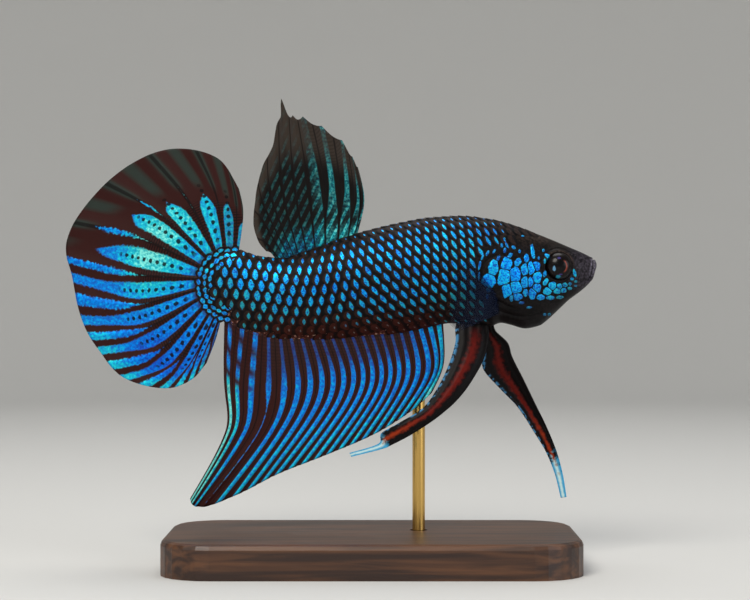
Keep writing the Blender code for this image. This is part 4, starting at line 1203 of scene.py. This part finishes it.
# Where each blade runs up inside the belly, above its first station
PELVIC_ROOT_UP = -6.3
PELVIC_ROOT_SIDE = 0.6
PELVIC_RED = "5C1009"
PELVIC_BLACK = "080506"
PELVIC_ORANGE = "8A2C10"
PELVIC_GLINT_BLUE = "4A8FC0"
PELVIC_TIP = "3A9AC8"
PELVIC_TIP_CORE = "C4E2E0"
PELVIC_THICKNESS = 0.4
PELVIC_COLUMNS = 16
PELVIC_ROWS = 140
PELVIC_KEEL = 0.35
PELVIC_RAYS = 4
PELVIC_GRAIN = 0.5

pelvic_film, add, shader = new_material("red_lacquered_film", Roughness=0.45, IOR=1.45,
                                        Specular_IOR_Level=0.12)
across_node = add("Attribute across", output=2)
along_node = add("Attribute along", output=2)
where = add("TexCoord", output=3)
fine = add("TexNoise", where, 1 / (PELVIC_GRAIN * MM), 3.0)
ragged = add("MapRange", fine, 0.3, 0.7, -0.07, 0.07)
stripe_middle = add("MapRange", along_node, 0.2, 0.5, 0.42, 0.55)
middle = add("Math SUBTRACT", across_node, stripe_middle)
middle = add("Math ABSOLUTE", middle)
middle = add("Math ADD", middle, ragged)
stripe = add("MapRange SMOOTHSTEP", middle, 0.23, 0.0, 0.0, 1.0)
start = add("MapRange", along_node, 0.08, 0.2, 0.0, 1.0)
stripe = add("Math MULTIPLY", stripe, start)
heat = add("MapRange SMOOTHSTEP", along_node, 0.55, 0.74, 0.0, 1.0)
red = add("Mix RGBA", heat, colour(PELVIC_RED), colour(PELVIC_ORANGE))
tone = add("Mix RGBA", stripe, colour(PELVIC_BLACK), red)
# Painted glints of light: pale blue dashes along the rear edge.
rear_edge = add("MapRange", across_node, 0.88, 0.96, 0.0, 1.0)
glint = add("MapRange", fine, 0.48, 0.56, 0.0, 0.8)
glint = add("Math MULTIPLY", glint, rear_edge)
tone = add("Mix RGBA", glint, tone, colour(PELVIC_GLINT_BLUE))
worn = add("MapRange", fine, 0.35, 0.6, -0.03, 0.05)
pale = add("Math ADD", along_node, worn)
pale = add("MapRange SMOOTHSTEP", pale, 0.8, 0.9, 0.0, 1.0)
core = add("MapRange", middle, 0.34, 0.05, 0.0, 1.0)
tip = add("Mix RGBA", core, colour(PELVIC_TIP), colour(PELVIC_TIP_CORE))
tone = add("Mix RGBA", pale, tone, tip)
set_inputs(shader, Base_Color=tone)

for word, side, fin_stations in (("right", -1, PELVIC_RIGHT), ("left", 1, PELVIC_LEFT)):
    pelvic, across, along = grid_piece(f"pelvic_fin_{word}", PELVIC_COLUMNS, PELVIC_ROWS)
    front, rear, _ = fin_stations[0]
    inside = ((front[0] + 0.3, PELVIC_ROOT_UP), (rear[0] - 0.3, PELVIC_ROOT_UP), PELVIC_ROOT_SIDE)
    path = rounded_path([(*front, *rear, out) for front, rear, out in [inside, *fin_stations]])
    front_back, front_up, rear_back, rear_up, out = path(along).T
    back = front_back + (rear_back - front_back) * across
    up = front_up + (rear_up - front_up) * across
    keel = PELVIC_KEEL * np.sin(math.pi * across) * np.sin(math.pi * np.minimum(along * 1.3, 1.0))
    set_points(pelvic, place(back, up, side * (out + keel)))
    set_values(pelvic, across=across, along=along)
    on_rays = (0.5 + 0.5 * np.cos(2 * math.pi * across * PELVIC_RAYS)) * (0.8 - 0.7 * along)
    finish_fin(pelvic, pelvic_film, PELVIC_THICKNESS, on_rays)
    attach(pelvic, "root")
    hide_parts(f"fin_pelvic_{word}")


# ------------------------------------------------------------
# The pectoral fins: two small fans of clear film behind the gill covers, with fine dark rays.
# ------------------------------------------------------------
PECTORAL_ROOT = [(11.75, -3.7), (11.6, -5.6)]
PECTORAL_TIPS = [(15.2, 0.4), (16.3, -0.5), (17.0, -2.4), (17.4, -4.6), (17.3, -6.5), (16.3, -7.7)]
PECTORAL_ROOT_SIDE = 0.65
PECTORAL_TIP_SIDE = 5.3
PECTORAL_CUP = 0.45
PECTORAL_RAYS = 9
PECTORAL_COLUMNS_PER_RAY = 8
PECTORAL_ROWS = 40
PECTORAL_THICKNESS = 0.16
CLEAR_SLATE = "0A142A"

clear_film, add, shader = new_material("clear_slate_film", Roughness=0.5, IOR=1.35,
                                       Specular_IOR_Level=0.15)
ray_node = add("Attribute ray", output=2)
ray_off_node = add("Math PINGPONG", ray_node, 0.5)
along_node = add("Attribute along", output=2)
opaque = add("MapRange", ray_off_node, 0.0, 0.3, 0.62, 0.46)
thin = add("MapRange", along_node, 0.25, 1.0, 1.0, 0.2)
opaque = add("Math MULTIPLY", opaque, thin)
set_inputs(shader, Base_Color=colour(CLEAR_SLATE), Alpha=opaque)

tips = rounded_path(PECTORAL_TIPS)
(upper_back, upper_up), (lower_back, lower_up) = PECTORAL_ROOT
for word, side in (("right", -1), ("left", 1)):
    pectoral, across, along = grid_piece(f"pectoral_fin_{word}",
                                         PECTORAL_RAYS * PECTORAL_COLUMNS_PER_RAY, PECTORAL_ROWS)
    tip_back, tip_up = tips(across).T
    root_back = upper_back + (lower_back - upper_back) * across
    root_up = upper_up + (lower_up - upper_up) * across
    back = root_back + (tip_back - root_back) * along
    up = root_up + (tip_up - root_up) * along
    _, skin_half = section(root_back, turn_at_height(root_back, root_up))
    root_out = skin_half + PECTORAL_ROOT_SIDE * smooth_step(0.0, 0.2, along) - 0.2
    fan_out = root_out + (PECTORAL_TIP_SIDE - root_out) * np.sin(along * math.pi / 2)
    cup = PECTORAL_CUP * np.sin(math.pi * across) * along
    ray = across * PECTORAL_RAYS
    set_points(pectoral, place(back, up, side * (fan_out + cup)))
    set_values(pectoral, ray=ray, along=along)
    finish_fin(pectoral, clear_film, PECTORAL_THICKNESS,
               bump(ray - np.round(ray), 0.2) * (1 - 0.6 * along))
    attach(pectoral, "root")
    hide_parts(f"fin_pectoral_{word}")


# ------------------------------------------------------------
# The stand: a walnut base with eased edges, oiled, and a brass rod turned and polished. Both are
# the solids themselves, with their real finish.
# ------------------------------------------------------------
WALNUT_DARK = "2A170E"
WALNUT_LIGHT = "5A3820"
BRASS = "C9A45C"
GRAIN_WIDTH = 1.1
PORE_WIDTH = 0.22
# The grain's pattern changes this much slower along the board than across it.
GRAIN_STRETCH = 0.06

walnut, add, shader = new_material("oiled_walnut", Roughness=0.42, IOR=1.5)
where = add("TexCoord", output=3)
grain_way = add("Mapping", Vector=where, Scale=(GRAIN_STRETCH, 1.0, 1.0))
grain = add("TexNoise", grain_way, 1 / (GRAIN_WIDTH * MM), 6.0, Distortion=0.6)
pore = add("TexNoise", grain_way, 1 / (PORE_WIDTH * MM), 2.0)
figure = add("MapRange SMOOTHSTEP", grain, 0.35, 0.68, 0.0, 1.0)
wood = add("Mix RGBA", figure, colour(WALNUT_DARK), colour(WALNUT_LIGHT))
wood_bump = add("Bump", Strength=0.3, Distance=0.05 * MM, Height=pore)
set_inputs(shader, Base_Color=wood, Normal=wood_bump)

brass, _, shader = new_material("polished_brass", Metallic=1.0, Roughness=0.22)
set_inputs(shader, Base_Color=colour(BRASS))
for name, finish in (("stand_base", walnut), ("stand_rod", brass)):
    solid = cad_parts[name]
    solid.data.materials.clear()
    solid.data.materials.append(finish)


# ------------------------------------------------------------
# The studio: a pale round floor that sweeps up to a wall all round, soft lamps above and in
# front, and the camera level with the fish's flank.
# ------------------------------------------------------------
# The studio's own sizes and the places of its lamps are in metres.
FLOOR_RADIUS = 0.4
SWEEP_RADIUS = 0.22
WALL_HEIGHT = 0.8
FLOOR_GREY = "C9C9C7"
SKY_GREY = "D9DADB"
SKY_STRENGTH = 0.45
CAMERA_LENS = 100
CAMERA_SENSOR = 36
CAMERA_PLACE = (0.35, -243.75, 31.1)

# The profile of the floor, from its middle out, round the sweep and up the wall, then spun
deselect_all()
profile = [(0.0, 0.0), (FLOOR_RADIUS * 0.5, 0.0)]
for step in range(17):
    turn = math.pi / 2 * step / 16
    profile.append((FLOOR_RADIUS + SWEEP_RADIUS * math.sin(turn), SWEEP_RADIUS * (1 - math.cos(turn))))
profile.append((FLOOR_RADIUS + SWEEP_RADIUS, WALL_HEIGHT))
bpy.ops.mesh.primitive_plane_add(size=0.01)
floor = bpy.context.object
floor.name = "studio_floor"
bpy.ops.object.mode_set(mode="EDIT")
bpy.ops.mesh.select_all(action="SELECT")
bpy.ops.mesh.delete(type="EDGE_FACE")
bpy.ops.mesh.select_all(action="SELECT")
bpy.ops.mesh.merge(type="CENTER")
for (radius, height), (next_radius, next_height) in zip(profile, profile[1:]):
    bpy.ops.mesh.extrude_vertices_move(
        TRANSFORM_OT_translate={"value": (next_radius - radius, 0, next_height - height)})
bpy.ops.mesh.select_all(action="SELECT")
bpy.ops.mesh.spin(steps=96, angle=2 * math.pi, center=(0, 0, 0), axis=(0, 0, 1))
bpy.ops.mesh.select_all(action="SELECT")
bpy.ops.mesh.remove_doubles(threshold=0.0001)
bpy.ops.mesh.normals_make_consistent(inside=True)
bpy.ops.object.mode_set(mode="OBJECT")
bpy.ops.object.shade_smooth()
paper, _, shader = new_material("matt_paper", Roughness=0.9)
set_inputs(shader, Base_Color=colour(FLOOR_GREY))
floor.data.materials.append(paper)


def area_lamp(name, at, aim, size, power, tint):
    lamp = bpy.data.lights.new(name, "AREA")
    lamp.shape = "DISK"
    lamp.size = size
    lamp.energy = power
    lamp.color = colour(tint)[:3]
    obj = bpy.data.objects.new(name, lamp)
    bpy.context.scene.collection.objects.link(obj)
    obj.location = at
    obj.rotation_euler = (mathutils.Vector(aim) - mathutils.Vector(at)).to_track_quat("-Z", "Y").to_euler()


fish_middle = (0.0, 0.0, SNOUT_Z * MM)
area_lamp("key_lamp", (-0.15, -0.32, 0.34), fish_middle, 0.22, 1.7, "FFFAF2")
area_lamp("fill_lamp", (0.36, -0.24, 0.14), fish_middle, 0.3, 0.6, "F2F6FF")
area_lamp("top_lamp", (0.0, 0.1, 0.42), fish_middle, 0.3, 0.9, "FFFFFF")

world = bpy.data.worlds.new("studio")
bpy.context.scene.world = world
world.use_nodes = True
set_inputs(world.node_tree.nodes["Background"], Color=colour(SKY_GREY), Strength=SKY_STRENGTH)
bpy.context.scene.view_settings.view_transform = "Standard"

camera_data = bpy.data.cameras.new("camera")
camera_data.lens = CAMERA_LENS
camera_data.sensor_width = CAMERA_SENSOR
camera_data.clip_start = 0.005
camera = bpy.data.objects.new("camera", camera_data)
bpy.context.scene.collection.objects.link(camera)
camera.location = [distance * MM for distance in CAMERA_PLACE]
camera.rotation_euler = (math.pi / 2, 0, 0)
bpy.context.scene.camera = camera
